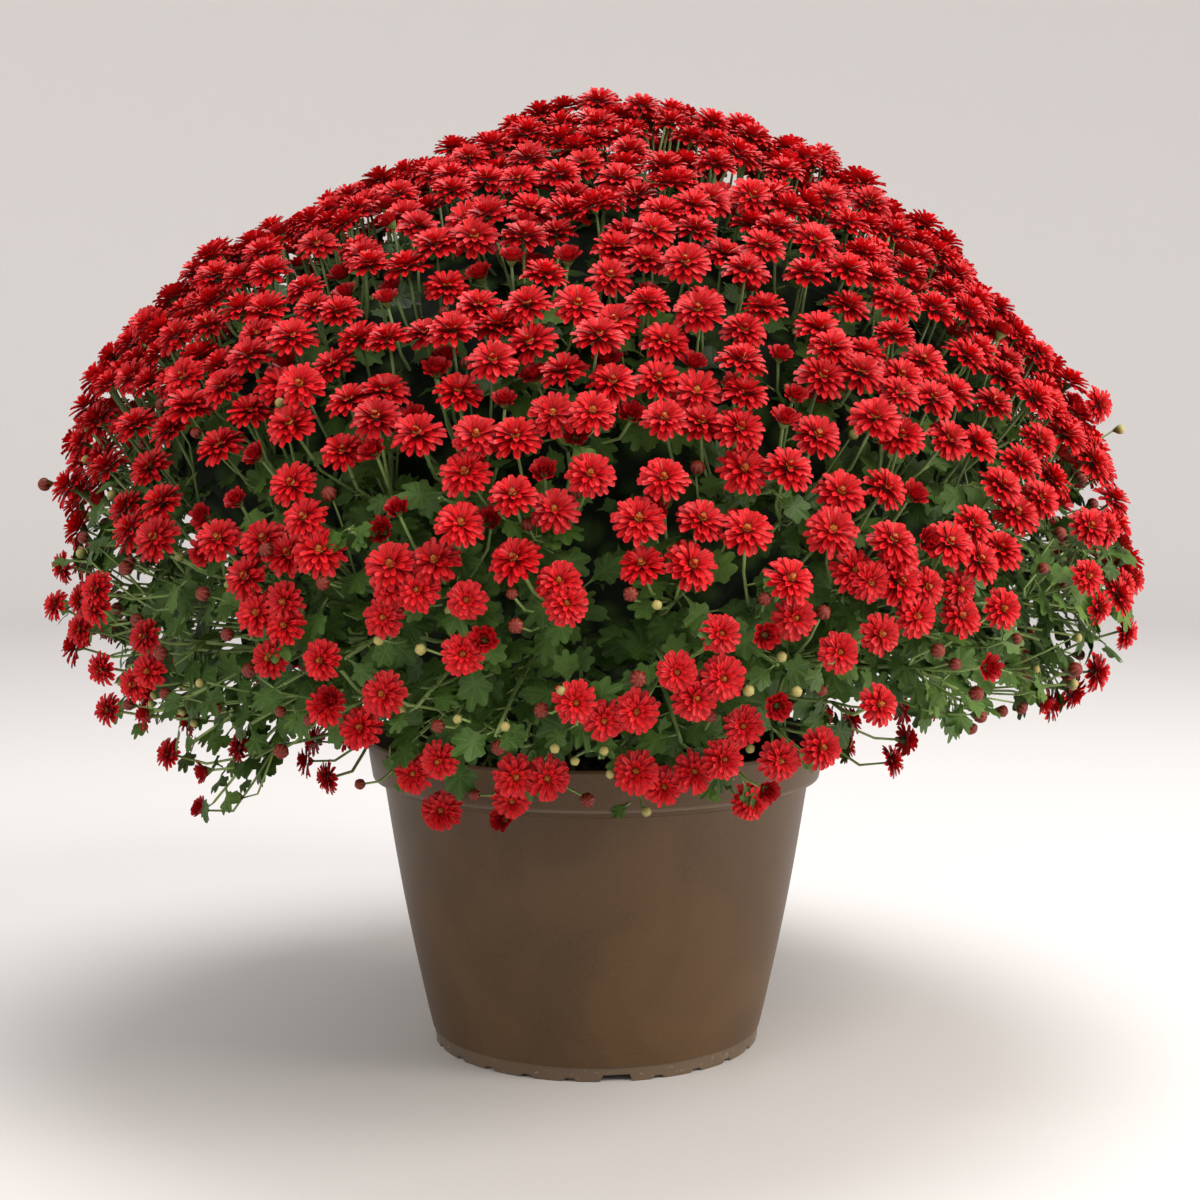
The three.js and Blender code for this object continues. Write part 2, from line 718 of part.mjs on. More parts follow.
// True for a piece that lies wholly in its branch's wedge and clear of what is there already.
function fitsIn(solid, branch, others) {
  const points = solid.getMesh().vertProperties;
  for (let i = 0; i < points.length; i += 3) {
    const point = new THREE.Vector3().fromArray(points, i);
    if (depthInWedge(point, branch) < BRANCH_GAP) return false;
  }
  return standsClear(solid, others, LEAF_CLEARANCE);
}

// The flower by which a spray is carried: well inside a branch's wedge and near the spray's
// middle, or the highest one where the spray hangs low.
function carrierOf(members) {
  const middle = new THREE.Vector3();
  members.forEach((flower) => middle.addScaledVector(flower.position, 1 / members.length));
  const merit = (flower) => {
    const depth = depthInWedge(flower.position, branchOf(flower.position));
    const height = flower.position.z < LOW_SPRAY_HEIGHT ? flower.position.z : 0;
    return Math.min(depth, CARRIER_DEPTH) * 3 - flower.position.distanceTo(middle) + 2 * height;
  };
  return members.reduce((best, flower) => (merit(flower) > merit(best) ? flower : best));
}

// A direction from the focus of the plant, by its height and azimuth.
function directionAt(height, azimuth) {
  const flat = Math.sqrt(1 - height * height);
  return new THREE.Vector3(flat * Math.cos(azimuth), flat * Math.sin(azimuth), height);
}

// Grows every branch piece by piece. Each new piece keeps clear of all that already stands.
class Foliage {
  constructor(flowers, standing) {
    this.flowers = flowers;
    this.standing = standing;
    this.random = seededRandom(FOLIAGE_SEED);
    this.core = makeCore();
    this.branches = Array.from({ length: BRANCH_COUNT }, () => [this.core]);
  }

  grow(branch, solid) {
    this.branches[branch].push(solid);
    this.standing.push(solid);
  }

  // Draws poses for a piece until one fits.
  tryToGrow(branch, draw, carrier) {
    const others = this.standing.filter((solid) => solid !== carrier);
    for (let attempt = 0; attempt < GROWTH_TRIES; attempt += 1) {
      const solid = draw();
      if (fitsIn(solid, branch, others)) {
        this.grow(branch, solid);
        return;
      }
    }
  }

  growMainStems() {
    for (let branch = 0; branch < BRANCH_COUNT; branch += 1) {
      const section = regularOutline(STEM_RADIUS, HOLE_SIDES);
      const stem = prism(section, STEM_FOOT_HEIGHT, CORE_FLOOR + STEM_OVERLAP);
      const foot = stemFoot(branch);
      this.grow(branch, solidOf(stem.translate(foot.x, foot.y, 0)));
    }
  }

  // The stem that reaches a spray ends just under its carrying flower.
  growSideStem(spray, sprayNode) {
    const carrier = carrierOf(this.flowers.filter((flower) => flower.spray === spray));
    const apex = carrier.position.clone().addScaledVector(carrier.normal, -FLOWER_DEPTH);
    const below = apex.clone().addScaledVector(carrier.normal, -SIDE_STEM_STRAIGHT);
    const root = below.clone().multiplyScalar(0.5);
    root.z = lerp(below.z, DOME_FOCUS_HEIGHT + 5, 0.5);
    let gap = FIT_GAP;
    let solid;
    do {
      const top = apex.clone().addScaledVector(carrier.normal, -gap);
      solid = stemAlong([root, below, top], SIDE_STEM_RADIUS, SIDE_STEM_SIDES, 2);
      gap += 0.1;
    } while (!standsClear(solid, [sprayNode], FIT_GAP));
    const branch = branchOf(carrier.position);
    this.grow(branch, solid);
    return { branch, solid, root, below };
  }

  growStemLeaf({ branch, solid, root, below }) {
    const outward = below.clone().sub(root).normalize();
    const facing = outward.clone().addScaledVector(UP, 0.8);
    const draw = () => {
      const point = below.clone().lerp(root, this.random() * 0.6);
      const along = this.wander(0.62).normalize().addScaledVector(outward, 0.25);
      const length = LEAF_LENGTH * lerp(0.8, 1.05, this.random());
      return leafSolid(length, placement(point, along, facing));
    };
    this.tryToGrow(branch, draw, solid);
  }

  // A leaf that stands out of the core, more of them low down where the flowers are open.
  growCoreLeaf(branch, share) {
    const draw = () => {
      const height = lerp(-0.28, 0.5, share) + (this.random() - 0.5) * 0.1;
      const outward = directionAt(height, this.azimuthIn(branch));
      const point = corePoint(outward).addScaledVector(outward, -8);
      point.z = Math.max(point.z, CORE_FLOOR + 5);
      const along = outward.clone().addScaledVector(this.wander(0.7), 1.4);
      const facing = outward.clone().addScaledVector(UP, 0.8);
      const length = LEAF_LENGTH * lerp(0.9, 1.2, this.random());
      return leafSolid(length, placement(point, along, facing));
    };
    this.tryToGrow(branch, draw);
  }

  // A round bud on a stalk of its own, just under the flowers.
  growBud(branch, share) {
    const focus = new THREE.Vector3(0, 0, DOME_FOCUS_HEIGHT);
    const draw = () => {
      const outward = directionAt(lerp(0, 0.8, share), this.azimuthIn(branch));
      const reach = domeReach(outward) * lerp(0.86, 0.95, this.random());
      const tip = focus.clone().addScaledVector(outward, reach);
      const root = corePoint(outward).addScaledVector(outward, -5);
      const bud = new THREE.OctahedronGeometry(BUD_RADIUS).translate(tip.x, tip.y, tip.z);
      return stemAlong([root, tip], STALK_RADIUS, SIDE_STEM_SIDES, 1).add(solidOf(bud));
    };
    this.tryToGrow(branch, draw);
  }

  azimuthIn(branch) {
    return ((branch + lerp(0.1, 0.9, this.random())) * 2 * Math.PI) / BRANCH_COUNT;
  }

  // A random vector inside a cube of one unit, lowered where the share given is over a half.
  wander(lowered) {
    const [x, y, z] = [this.random(), this.random(), this.random()];
    return new THREE.Vector3(x - 0.5, y - 0.5, z - lowered);
  }

  // Each branch cut to its wedge of the plant, as one body.
  finished() {
    return this.branches.map((pieces, branch) => {
      const joined = wasm.Manifold.union(pieces);
      return largestBody(joined.intersect(branchWedge(branch)));
    });
  }
}

function makeBranches(flowers, sprayNodes, potNode, soilNode) {
  const foliage = new Foliage(flowers, [...sprayNodes, potNode]);
  foliage.growMainStems();
  foliage.standing.push(soilNode);
  const stems = sprayNodes.map((node, spray) => foliage.growSideStem(spray, node));
  for (const stem of stems) {
    const count = stem.below.z < LOW_SPRAY_HEIGHT ? LEAVES_PER_LOW_SPRAY : 1;
    for (let i = 0; i < count; i += 1) foliage.growStemLeaf(stem);
  }
  for (let i = 0; i < LEAVES_PER_BRANCH; i += 1) {
    for (let branch = 0; branch < BRANCH_COUNT; branch += 1) {
      foliage.growCoreLeaf(branch, (i + 0.5) / LEAVES_PER_BRANCH);
    }
  }
  for (let i = 0; i < BUDS_PER_BRANCH; i += 1) {
    for (let branch = 0; branch < BRANCH_COUNT; branch += 1) {
      foliage.growBud(branch, (i + 0.5) / BUDS_PER_BRANCH);
    }
  }
  return foliage.finished();
}

// Assembly

const finishes = {
  pot: new THREE.MeshStandardMaterial({ color: 0x5d4a38, roughness: 0.55, metalness: 0 }),
  soil: new THREE.MeshStandardMaterial({ color: 0x2a1d14, roughness: 0.95, metalness: 0 }),
  flower: new THREE.MeshStandardMaterial({ color: 0xc01220, roughness: 0.6, metalness: 0 }),
  foliage: new THREE.MeshStandardMaterial({ color: 0x35552c, roughness: 0.7, metalness: 0 }),
};

function namedMesh(name, geometry, material) {
  const mesh = new THREE.Mesh(geometry, material.clone());
  mesh.name = name;
  return mesh;
}

function twoDigits(number) {
  return String(number).padStart(2, "0");
}

const chrysanthemum = new THREE.Group();
const potGeometry = makePot();
const soilGeometry = makeSoil();
chrysanthemum.add(namedMesh("pot", potGeometry, finishes.pot));
chrysanthemum.add(namedMesh("potting_soil", soilGeometry, finishes.soil));

const flowers = makeFlowers();
const neighbours = neighboursOf(flowers);
linkSprays(flowers, neighbours);
const sprays = Array.from({ length: SPRAYS }, (_, spray) => (
  sprayGeometry(flowers, neighbours, spray)
));
sprays.forEach((geometry, spray) => {
  const name = `flower_spray_${twoDigits(spray + 1)}`;
  chrysanthemum.add(namedMesh(name, geometry, finishes.flower));
});

const sprayNodes = sprays.map(solidOf);
const branches = makeBranches(flowers, sprayNodes, solidOf(potGeometry), solidOf(soilGeometry));
branches.forEach((solid, branch) => {
  const name = `leafy_branch_${branch + 1}`;
  chrysanthemum.add(namedMesh(name, geometryOf(solid), finishes.foliage));
});

export default chrysanthemum;
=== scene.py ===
import logging
import math
import random
from dataclasses import dataclass, field
from enum import Enum, IntEnum
from typing import Any, Iterable, Sequence

import bmesh
import bpy
from mathutils import Matrix, Vector, kdtree, noise


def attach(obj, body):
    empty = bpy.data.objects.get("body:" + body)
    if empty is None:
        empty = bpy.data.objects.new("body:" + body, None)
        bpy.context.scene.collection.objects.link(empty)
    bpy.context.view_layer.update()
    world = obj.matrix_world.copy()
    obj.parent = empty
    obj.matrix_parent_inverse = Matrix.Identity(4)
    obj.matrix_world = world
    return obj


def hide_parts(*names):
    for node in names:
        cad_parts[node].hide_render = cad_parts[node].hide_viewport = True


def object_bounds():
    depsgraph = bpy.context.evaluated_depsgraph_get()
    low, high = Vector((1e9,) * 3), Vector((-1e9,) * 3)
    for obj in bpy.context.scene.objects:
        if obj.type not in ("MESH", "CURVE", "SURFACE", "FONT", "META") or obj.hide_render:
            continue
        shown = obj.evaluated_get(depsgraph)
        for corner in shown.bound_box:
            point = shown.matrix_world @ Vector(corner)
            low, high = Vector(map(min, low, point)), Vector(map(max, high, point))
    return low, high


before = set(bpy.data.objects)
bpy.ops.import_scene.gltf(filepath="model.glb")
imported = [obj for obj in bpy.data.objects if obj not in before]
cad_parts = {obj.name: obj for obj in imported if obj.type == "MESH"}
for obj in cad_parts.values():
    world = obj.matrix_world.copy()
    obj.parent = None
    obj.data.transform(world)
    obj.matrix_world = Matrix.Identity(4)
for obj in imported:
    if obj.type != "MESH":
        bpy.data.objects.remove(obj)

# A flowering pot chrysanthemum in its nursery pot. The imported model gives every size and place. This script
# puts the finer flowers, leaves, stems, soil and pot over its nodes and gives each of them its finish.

CAD_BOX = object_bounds()
MM = 0.001
GOLDEN_ANGLE = math.pi * (3 - math.sqrt(5))
UP = Vector((0, 0, 1))
BRANCHES = 8
SPRAYS = 49
LOG = logging.getLogger("chrysanthemum")


class Slot(Enum):
    """Names of four material slots, which nothing in the script uses."""

    POT = "pot_plastic"
    SOIL = "potting_mix"
    PETALS = "petals"
    LEAVES = "leaves"


class Stage(Enum):
    """How far a flower head has opened."""

    OPEN = "open"
    HALF_OPEN = "half_open"
    RED_BUD = "red_bud"
    GREEN_BUD = "green_bud"


class HeadSkin(IntEnum):
    """The finishes of a flower head's faces, in the order of its materials."""

    PETAL = 0
    DISC = 1
    GREEN = 2
    RED_BUD = 3
    GREEN_BUD = 4


class BranchSkin(IntEnum):
    """The finishes of a branch's faces, in the order of its materials."""

    LEAF = 0
    STEM = 1
    INNER = 2


# Small helpers


def linear(hex_colour: str) -> tuple[float, float, float, float]:
    """Turns an sRGB hex colour into linear RGBA.

    Args:
        hex_colour: six hex digits after a hash sign.

    Returns:
        The linear colour with an alpha of one.
    """
    parts = [int(hex_colour[i:i + 2], 16) / 255 for i in (1, 3, 5)]
    return (*[c / 12.92 if c <= 0.04045 else ((c + 0.055) / 1.055) ** 2.4 for c in parts], 1.0)


def smoothstep(value: float, low: float, high: float) -> float:
    """Returns the smooth share of the way from low to high."""
    share = min(1.0, max(0.0, (value - low) / (high - low)))
    return share * share * (3 - 2 * share)


def lerp(start: float, end: float, share: float) -> float:
    """Returns the value a share of the way from start to end."""
    return start + (end - start) * share


def random_direction(rng: random.Random, spread: float = 0.58) -> Vector:
    """Returns a random vector of about unit length."""
    return Vector((rng.gauss(0, spread), rng.gauss(0, spread), rng.gauss(0, spread)))


def random_tint(rng: random.Random, middle: float, most: float = 1.0, spread: float = 0.12) -> float:
    """Returns a random shade around a middle one, from zero to the most that it may be."""
    return min(most, max(0.0, rng.gauss(middle, spread)))


def towards(azimuth: float) -> Vector:
    """Returns the level unit vector towards an azimuth."""
    return Vector((math.cos(azimuth), math.sin(azimuth), 0))


def level(vector: Vector) -> Vector:
    """Returns the level unit vector under a vector."""
    return Vector((vector.x, vector.y, 0)).normalized()


def off_axis(outward: Vector, reach: float, height: float) -> Vector:
    """Returns the point at a reach and a height, both in mm, towards a level direction."""
    return outward * reach * MM + UP * height * MM


def aside(rng: random.Random, direction: Vector) -> Vector:
    """Returns a random unit vector at right angles to a direction."""
    return direction.cross(random_direction(rng)).normalized()


def outward_and_up(rng: random.Random, outward: Vector, out_share: float, up_share: float,
                   spread: float) -> Vector:
    """Returns a direction between outward and up, with a random part as large as the spread."""
    return outward * out_share + UP * up_share + random_direction(rng) * spread


def stands_clear(point: Vector, others: Iterable[Vector], gap: float) -> bool:
    """Tells whether a point lies further than a gap from all others."""
    return all((other - point).length > gap for other in others)


def spread_out(points: Iterable[Vector], gap: float) -> list[Vector]:
    """Returns the points, in turn, that lie further than a gap from all kept before them."""
    kept: list[Vector] = []
    for point in points:
        if stands_clear(point, kept, gap):
            kept.append(point)
    return kept


def search_tree(points: Sequence[Vector]) -> kdtree.KDTree:
    """Returns a tree that finds the points near a place."""
    tree = kdtree.KDTree(len(points))
    for index, point in enumerate(points):
        tree.insert(point, index)
    tree.balance()
    return tree


def turned(section: Sequence[tuple[float, float]], steps: int, closed: bool = False) -> bmesh.types.BMesh:
    """Turns a section once around the upright axis.

    Args:
        section: its points as radius and height, in metres.
        steps: how many faces go round.
        closed: whether its last point joins its first.

    Returns:
        The bmesh of the surface.
    """
    bm = bmesh.new()
    row = [bm.verts.new((radius, 0, height)) for radius, height in section]
    ends = row[1:] + row[:1] if closed else row[1:]
    edges = [bm.edges.new(pair) for pair in zip(row, ends)]
    bmesh.ops.spin(bm, geom=[*row, *edges], cent=(0, 0, 0), axis=UP, angle=math.tau, steps=steps,
                   use_merge=True, use_duplicate=False)
    return bm


def oriented(place: Vector, normal: Vector, along: Vector, size: float) -> Matrix:
    """Builds the matrix that sets a prototype down on a surface.

    Args:
        place: where the prototype's origin goes.
        normal: where its +Z points.
        along: the direction that its +Y takes as nearly as it can.
        size: its scale.

    Returns:
        The placing matrix.
    """
    z_axis = normal.normalized()
    x_axis = along.cross(z_axis)
    if x_axis.length < 1e-4:
        x_axis = z_axis.orthogonal()
    x_axis.normalize()
    y_axis = z_axis.cross(x_axis)
    turn = Matrix((x_axis, y_axis, z_axis)).transposed().to_4x4()
    return Matrix.Translation(place) @ turn @ Matrix.Scale(size, 4)


def mesh_from(bm: bmesh.types.BMesh, name: str) -> bpy.types.Mesh:
    """Writes a bmesh into a new smooth-shaded mesh and frees it."""
    for face in bm.faces:
        face.smooth = True
    mesh = bpy.data.meshes.new(name)
    bm.to_mesh(mesh)
    bm.free()
    return mesh


def set_tint(mesh: bpy.types.Mesh, value: float) -> None:
    """Stores one shade value on every vertex of a mesh."""
    layer = mesh.attributes.get("tint") or mesh.attributes.new("tint", "FLOAT", "POINT")
    layer.data.foreach_set("value", [value] * len(mesh.vertices))


def add_copy(bm: bmesh.types.BMesh, prototype: bpy.types.Mesh, matrix: Matrix, tint: float) -> None:
    """Adds one placed and tinted copy of a prototype to a bmesh."""
    copy = prototype.copy()
    copy.transform(matrix)
    set_tint(copy, tint)
    bm.from_mesh(copy)
    bpy.data.meshes.remove(copy)


def as_piece(mesh: bpy.types.Mesh, name: str, finishes: Sequence[bpy.types.Material],
             replaced: Iterable[str]) -> bpy.types.Object:
    """Makes an object of a mesh, dresses it and hides the CAD nodes that it stands for.

    Args:
        mesh: the finished mesh, already in place.
        name: the piece's name.
        finishes: materials in the order of the faces' material numbers.
        replaced: the CAD nodes that it stands for.

    Returns:
        The new object.
    """
    mesh.name = name
    piece = bpy.data.objects.new(name, mesh)
    bpy.context.collection.objects.link(piece)
    for finish in finishes:
        mesh.materials.append(finish)
    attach(piece, "root")
    nodes = list(replaced)
    if nodes:
        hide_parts(*nodes)
    triangles = sum(len(face.vertices) - 2 for face in mesh.polygons)
    LOG.info("%s: %d triangles", name, triangles)
    return piece


# Finishes


def node(tree: bpy.types.NodeTree, kind: str, links: dict[Any, Any] | None = None,
         **settings: Any) -> bpy.types.Node:
    """Adds one shader node.

    Args:
        tree: the material's node tree.
        kind: the node's class name without ShaderNode.
        links: input names or numbers, each with an output socket or a plain value.
        **settings: the node's own settings.

    Returns:
        The new node.
    """
    made = tree.nodes.new("ShaderNode" + kind)
    for key, value in settings.items():
        setattr(made, key, value)
    for key, value in (links or {}).items():
        if isinstance(value, bpy.types.NodeSocket):
            tree.links.new(value, made.inputs[key])
        else:
            made.inputs[key].default_value = value
    return made


@dataclass(frozen=True)
class Tone:
    """One colour of a surface, laid over those before it as far as a pattern runs from low to high."""

    pattern: bpy.types.NodeSocket
    low: float
    high: float
    colour: str
    start: float = 0.0
    end: float = 1.0
    blend: str = "SMOOTHSTEP"


def blank(name: str, roughness: float,
          gloss: float = 0.5) -> tuple[bpy.types.Material, bpy.types.NodeTree, bpy.types.Node]:
    """Makes a node material with a Principled shader.

    Args:
        name: the material's name.
        roughness: how dull it is.
        gloss: the level of its mirror light.

    Returns:
        The material, its tree and its shader.
    """
    material = bpy.data.materials.new(name)
    material.use_nodes = True
    tree = material.node_tree
    tree.nodes.clear()
    shader = node(tree, "BsdfPrincipled", {"Roughness": roughness, "Specular IOR Level": gloss})
    node(tree, "OutputMaterial", {"Surface": shader.outputs[0]})
    return material, tree, shader


def cover(tree: bpy.types.NodeTree, shader: bpy.types.Node, base: str, tones: Iterable[Tone],
          relief: bpy.types.NodeSocket | None = None, strength: float = 1.0, depth_mm: float = 1.0,
          raised: bool = True) -> None:
    """Gives a shader the colours and the fine relief of its surface.

    Args:
        tree: the material's node tree.
        shader: its Principled shader.
        base: the colour under all tones.
        tones: the colours over it, in order.
        relief: the pattern of the relief, if it has one.
        strength: how clearly the relief shows.
        depth_mm: how deep it is.
        raised: whether high values stand out.
    """
    colour: Any = linear(base)
    for tone in tones:
        share = node(tree, "MapRange", {"Value": tone.pattern, "From Min": tone.low, "From Max": tone.high,
                                        "To Min": tone.start, "To Max": tone.end},
                     interpolation_type=tone.blend).outputs["Result"]
        colour = node(tree, "Mix", {0: share, 6: colour, 7: linear(tone.colour)}, data_type="RGBA").outputs[2]
    tree.links.new(colour, shader.inputs["Base Color"])
    if relief:
        bump = node(tree, "Bump", {"Height": relief, "Strength": strength, "Distance": depth_mm * MM},
                    invert=not raised)
        tree.links.new(bump.outputs[0], shader.inputs["Normal"])


@dataclass(frozen=True)
class RayFloretFinish:
    """A petal: thin waxy plant skin whose ribs catch the light, with a painted pink highlight on its rims and
    tip and painted shade at its root and along its very edge.
    """

    name: str = "chrysanthemum_ray_floret"
    # The root colour is painted shade: dark at the petal's foot and in a line along its very edge, where the
    # petals overlap.
    root: str = "#7c0409"
    blade: str = "#dd1018"
    # The rim colour is a painted pink highlight towards the petal's sides and at its tip.
    rim: str = "#ea2c33"
    old: str = "#8e0910"
    ribs: float = 1.5
    rib_strength: float = 0.35
    rib_depth_mm: float = 0.25
    roughness: float = 0.46
    gloss: float = 0.28

    def build(self) -> bpy.types.Material:
        """Returns the material."""
        material, tree, shader = blank(self.name, self.roughness, self.gloss)
        place = node(tree, "SeparateXYZ", {0: node(tree, "UVMap", uv_map="UVMap").outputs[0]})
        across, along = place.outputs[0], place.outputs[1]
        off_middle = node(tree, "Math", {0: across, 1: 0.5}, operation="SUBTRACT").outputs[0]
        edge = node(tree, "Math", {0: off_middle}, operation="ABSOLUTE").outputs[0]
        turns = node(tree, "Math", {0: across, 1: self.ribs * math.tau}, operation="MULTIPLY").outputs[0]
        rib = node(tree, "Math", {0: turns}, operation="COSINE").outputs[0]
        tint = node(tree, "Attribute", attribute_name="tint").outputs["Fac"]
        # painted shade: the base is the dark root colour, which the blade colour covers from the foot to past
        # the middle
        cover(tree, shader, self.root, (
            Tone(along, 0.0, 0.55, self.blade),
            # painted pink highlight towards the petal's sides
            Tone(edge, 0.1, 0.34, self.rim, end=0.4),
            # painted shade in a dark line along the very edge, where the petals overlap
            Tone(edge, 0.34, 0.47, self.root, end=0.9),
            # painted pink highlight at the tip
            Tone(along, 0.8, 1.0, self.rim, end=0.2),
            Tone(rib, 0.3, 1.0, self.old, end=0.35),
            Tone(tint, 0.0, 1.0, self.old, blend="LINEAR"),
        ), rib, self.rib_strength, self.rib_depth_mm)
        return material


@dataclass(frozen=True)
class DiscFinish:
    """The eye of the flower: packed tube florets, pollen yellow outside and brown where they are shut."""

    name: str = "chrysanthemum_disc_floret"
    pollen: str = "#d9a032"
    open_floret: str = "#a8500f"
    shut_floret: str = "#5a1a08"
    floret_mm: float = 0.9
    roughness: float = 0.7

    def build(self) -> bpy.types.Material:
        """Returns the material."""
        material, tree, shader = blank(self.name, self.roughness)
        along = node(tree, "SeparateXYZ", {0: node(tree, "UVMap", uv_map="UVMap").outputs[0]}).outputs[1]
        where = node(tree, "TexCoord").outputs["Object"]
        grain = node(tree, "TexVoronoi", {"Vector": where,
                                          "Scale": 1 / (self.floret_mm * MM)}).outputs["Distance"]
        cover(tree, shader, self.pollen, (
            Tone(grain, 0.1, 0.6, self.open_floret),
            Tone(along, 0.45, 0.8, self.shut_floret),
        ))
        return material


@dataclass(frozen=True)
class LeafFinish:
    """A leaf blade: soft downy skin, dull on top, with paler sunken veins that run out into the lobes."""

    name: str = "chrysanthemum_leaf"
    deep: str = "#17260c"
    blade: str = "#3c591f"
    vein: str = "#617d42"
    young: str = "#618037"
    half_vein_turn: float = 0.39
    vein_strength: float = 0.35
    vein_depth_mm: float = 0.4
    cloud_mm: float = 9
    roughness: float = 0.5
    gloss: float = 0.22

    def build(self) -> bpy.types.Material:
        """Returns the material."""
        material, tree, shader = blank(self.name, self.roughness, self.gloss)
        place = node(tree, "SeparateXYZ", {0: node(tree, "UVMap", uv_map="UVMap").outputs[0]})
        x, y = (node(tree, "Math", {0: place.outputs[i], 1: 0.5}, operation="SUBTRACT").outputs[0]
                for i in (0, 1))
        angle = node(tree, "Math", {0: x, 1: y}, operation="ARCTAN2").outputs[0]
        from_vein = node(tree, "Math", {0: angle, 1: self.half_vein_turn}, operation="PINGPONG").outputs[0]
        reach = node(tree, "VectorMath", {0: node(tree, "CombineXYZ", {0: x, 1: y}).outputs[0]},
                     operation="LENGTH").outputs["Value"]
        gap = node(tree, "Math", {0: from_vein, 1: reach}, operation="MULTIPLY").outputs[0]
        relief = node(tree, "MapRange", {"Value": gap, "From Max": 0.06},
                      interpolation_type="SMOOTHSTEP").outputs["Result"]
        tint = node(tree, "Attribute", attribute_name="tint").outputs["Fac"]
        where = node(tree, "TexCoord").outputs["Object"]
        cloud = node(tree, "TexNoise", {"Vector": where, "Scale": 1 / (self.cloud_mm * MM),
                                        "Detail": 3.0}).outputs[0]
        cover(tree, shader, self.deep, (
            Tone(tint, 0.0, 0.5, self.blade),
            Tone(tint, 0.5, 1.0, self.young),
            Tone(cloud, 0.45, 0.75, self.deep, end=0.4),
            Tone(gap, 0.004, 0.02, self.vein, start=0.22, end=0.0),
        ), relief, self.vein_strength, self.vein_depth_mm)
        return material


@dataclass(frozen=True)
class StemFinish:
    """A stem: green ridged skin that is pale and fresh on flower stalks and deeper green on old wood."""

    name: str = "chrysanthemum_stem"
    deep: str = "#2f4a1c"
    fresh: str = "#8fa85c"
    cloud_mm: float = 6
    roughness: float = 0.55

    def build(self) -> bpy.types.Material:
        """Returns the material."""
        material, tree, shader = blank(self.name, self.roughness)
        tint = node(tree, "Attribute", attribute_name="tint").outputs["Fac"]
        where = node(tree, "TexCoord").outputs["Object"]
        cloud = node(tree, "TexNoise", {"Vector": where, "Scale": 1 / (self.cloud_mm * MM),
                                        "Detail": 2.0}).outputs[0]
        cover(tree, shader, self.deep, (
            Tone(tint, 0.0, 1.0, self.fresh, blend="LINEAR"),
            Tone(cloud, 0.4, 0.8, self.deep, end=0.35),
        ))
        return material


@dataclass(frozen=True)
class BudFinish:
    """A closed bud: folded petal tips with a waxy skin, striped from the green cup up to the top."""

    name: str
    low: str
    high: str
    stripe: str
    stripes: int = 8
    roughness: float = 0.5
    gloss: float = 0.3

    def build(self) -> bpy.types.Material:
        """Returns the material."""
        material, tree, shader = blank(self.name, self.roughness, self.gloss)
        place = node(tree, "SeparateXYZ", {0: node(tree, "UVMap", uv_map="UVMap").outputs[0]})
        around, along = place.outputs[0], place.outputs[1]
        turns = node(tree, "Math", {0: around, 1: self.stripes * math.tau}, operation="MULTIPLY").outputs[0]
        wave = node(tree, "Math", {0: turns}, operation="COSINE").outputs[0]
        cover(tree, shader, self.low, (
            Tone(along, 0.3, 0.9, self.high),
            Tone(wave, 0.0, 1.0, self.stripe, end=0.4),
        ))
        return material


@dataclass(frozen=True)
class InnerFoliageFinish:
    """The leaf mass inside the plant: the same leaves in full shade, so the eye sees black-green gaps."""

    name: str = "shaded_inner_foliage"
    gap: str = "#0a1507"
    leaf: str = "#2e431c"
    leaf_mm: float = 16
    gap_depth_mm: float = 5
    roughness: float = 0.8
    gloss: float = 0.15

    def build(self) -> bpy.types.Material:
        """Returns the material."""
        material, tree, shader = blank(self.name, self.roughness, self.gloss)
        where = node(tree, "TexCoord").outputs["Object"]
        cells = node(tree, "TexVoronoi", {"Vector": where,
                                          "Scale": 1 / (self.leaf_mm * MM)}).outputs["Distance"]
        cover(tree, shader, self.leaf, (Tone(cells, 0.15, 0.6, self.gap),), cells, depth_mm=self.gap_depth_mm,
              raised=False)
        return material


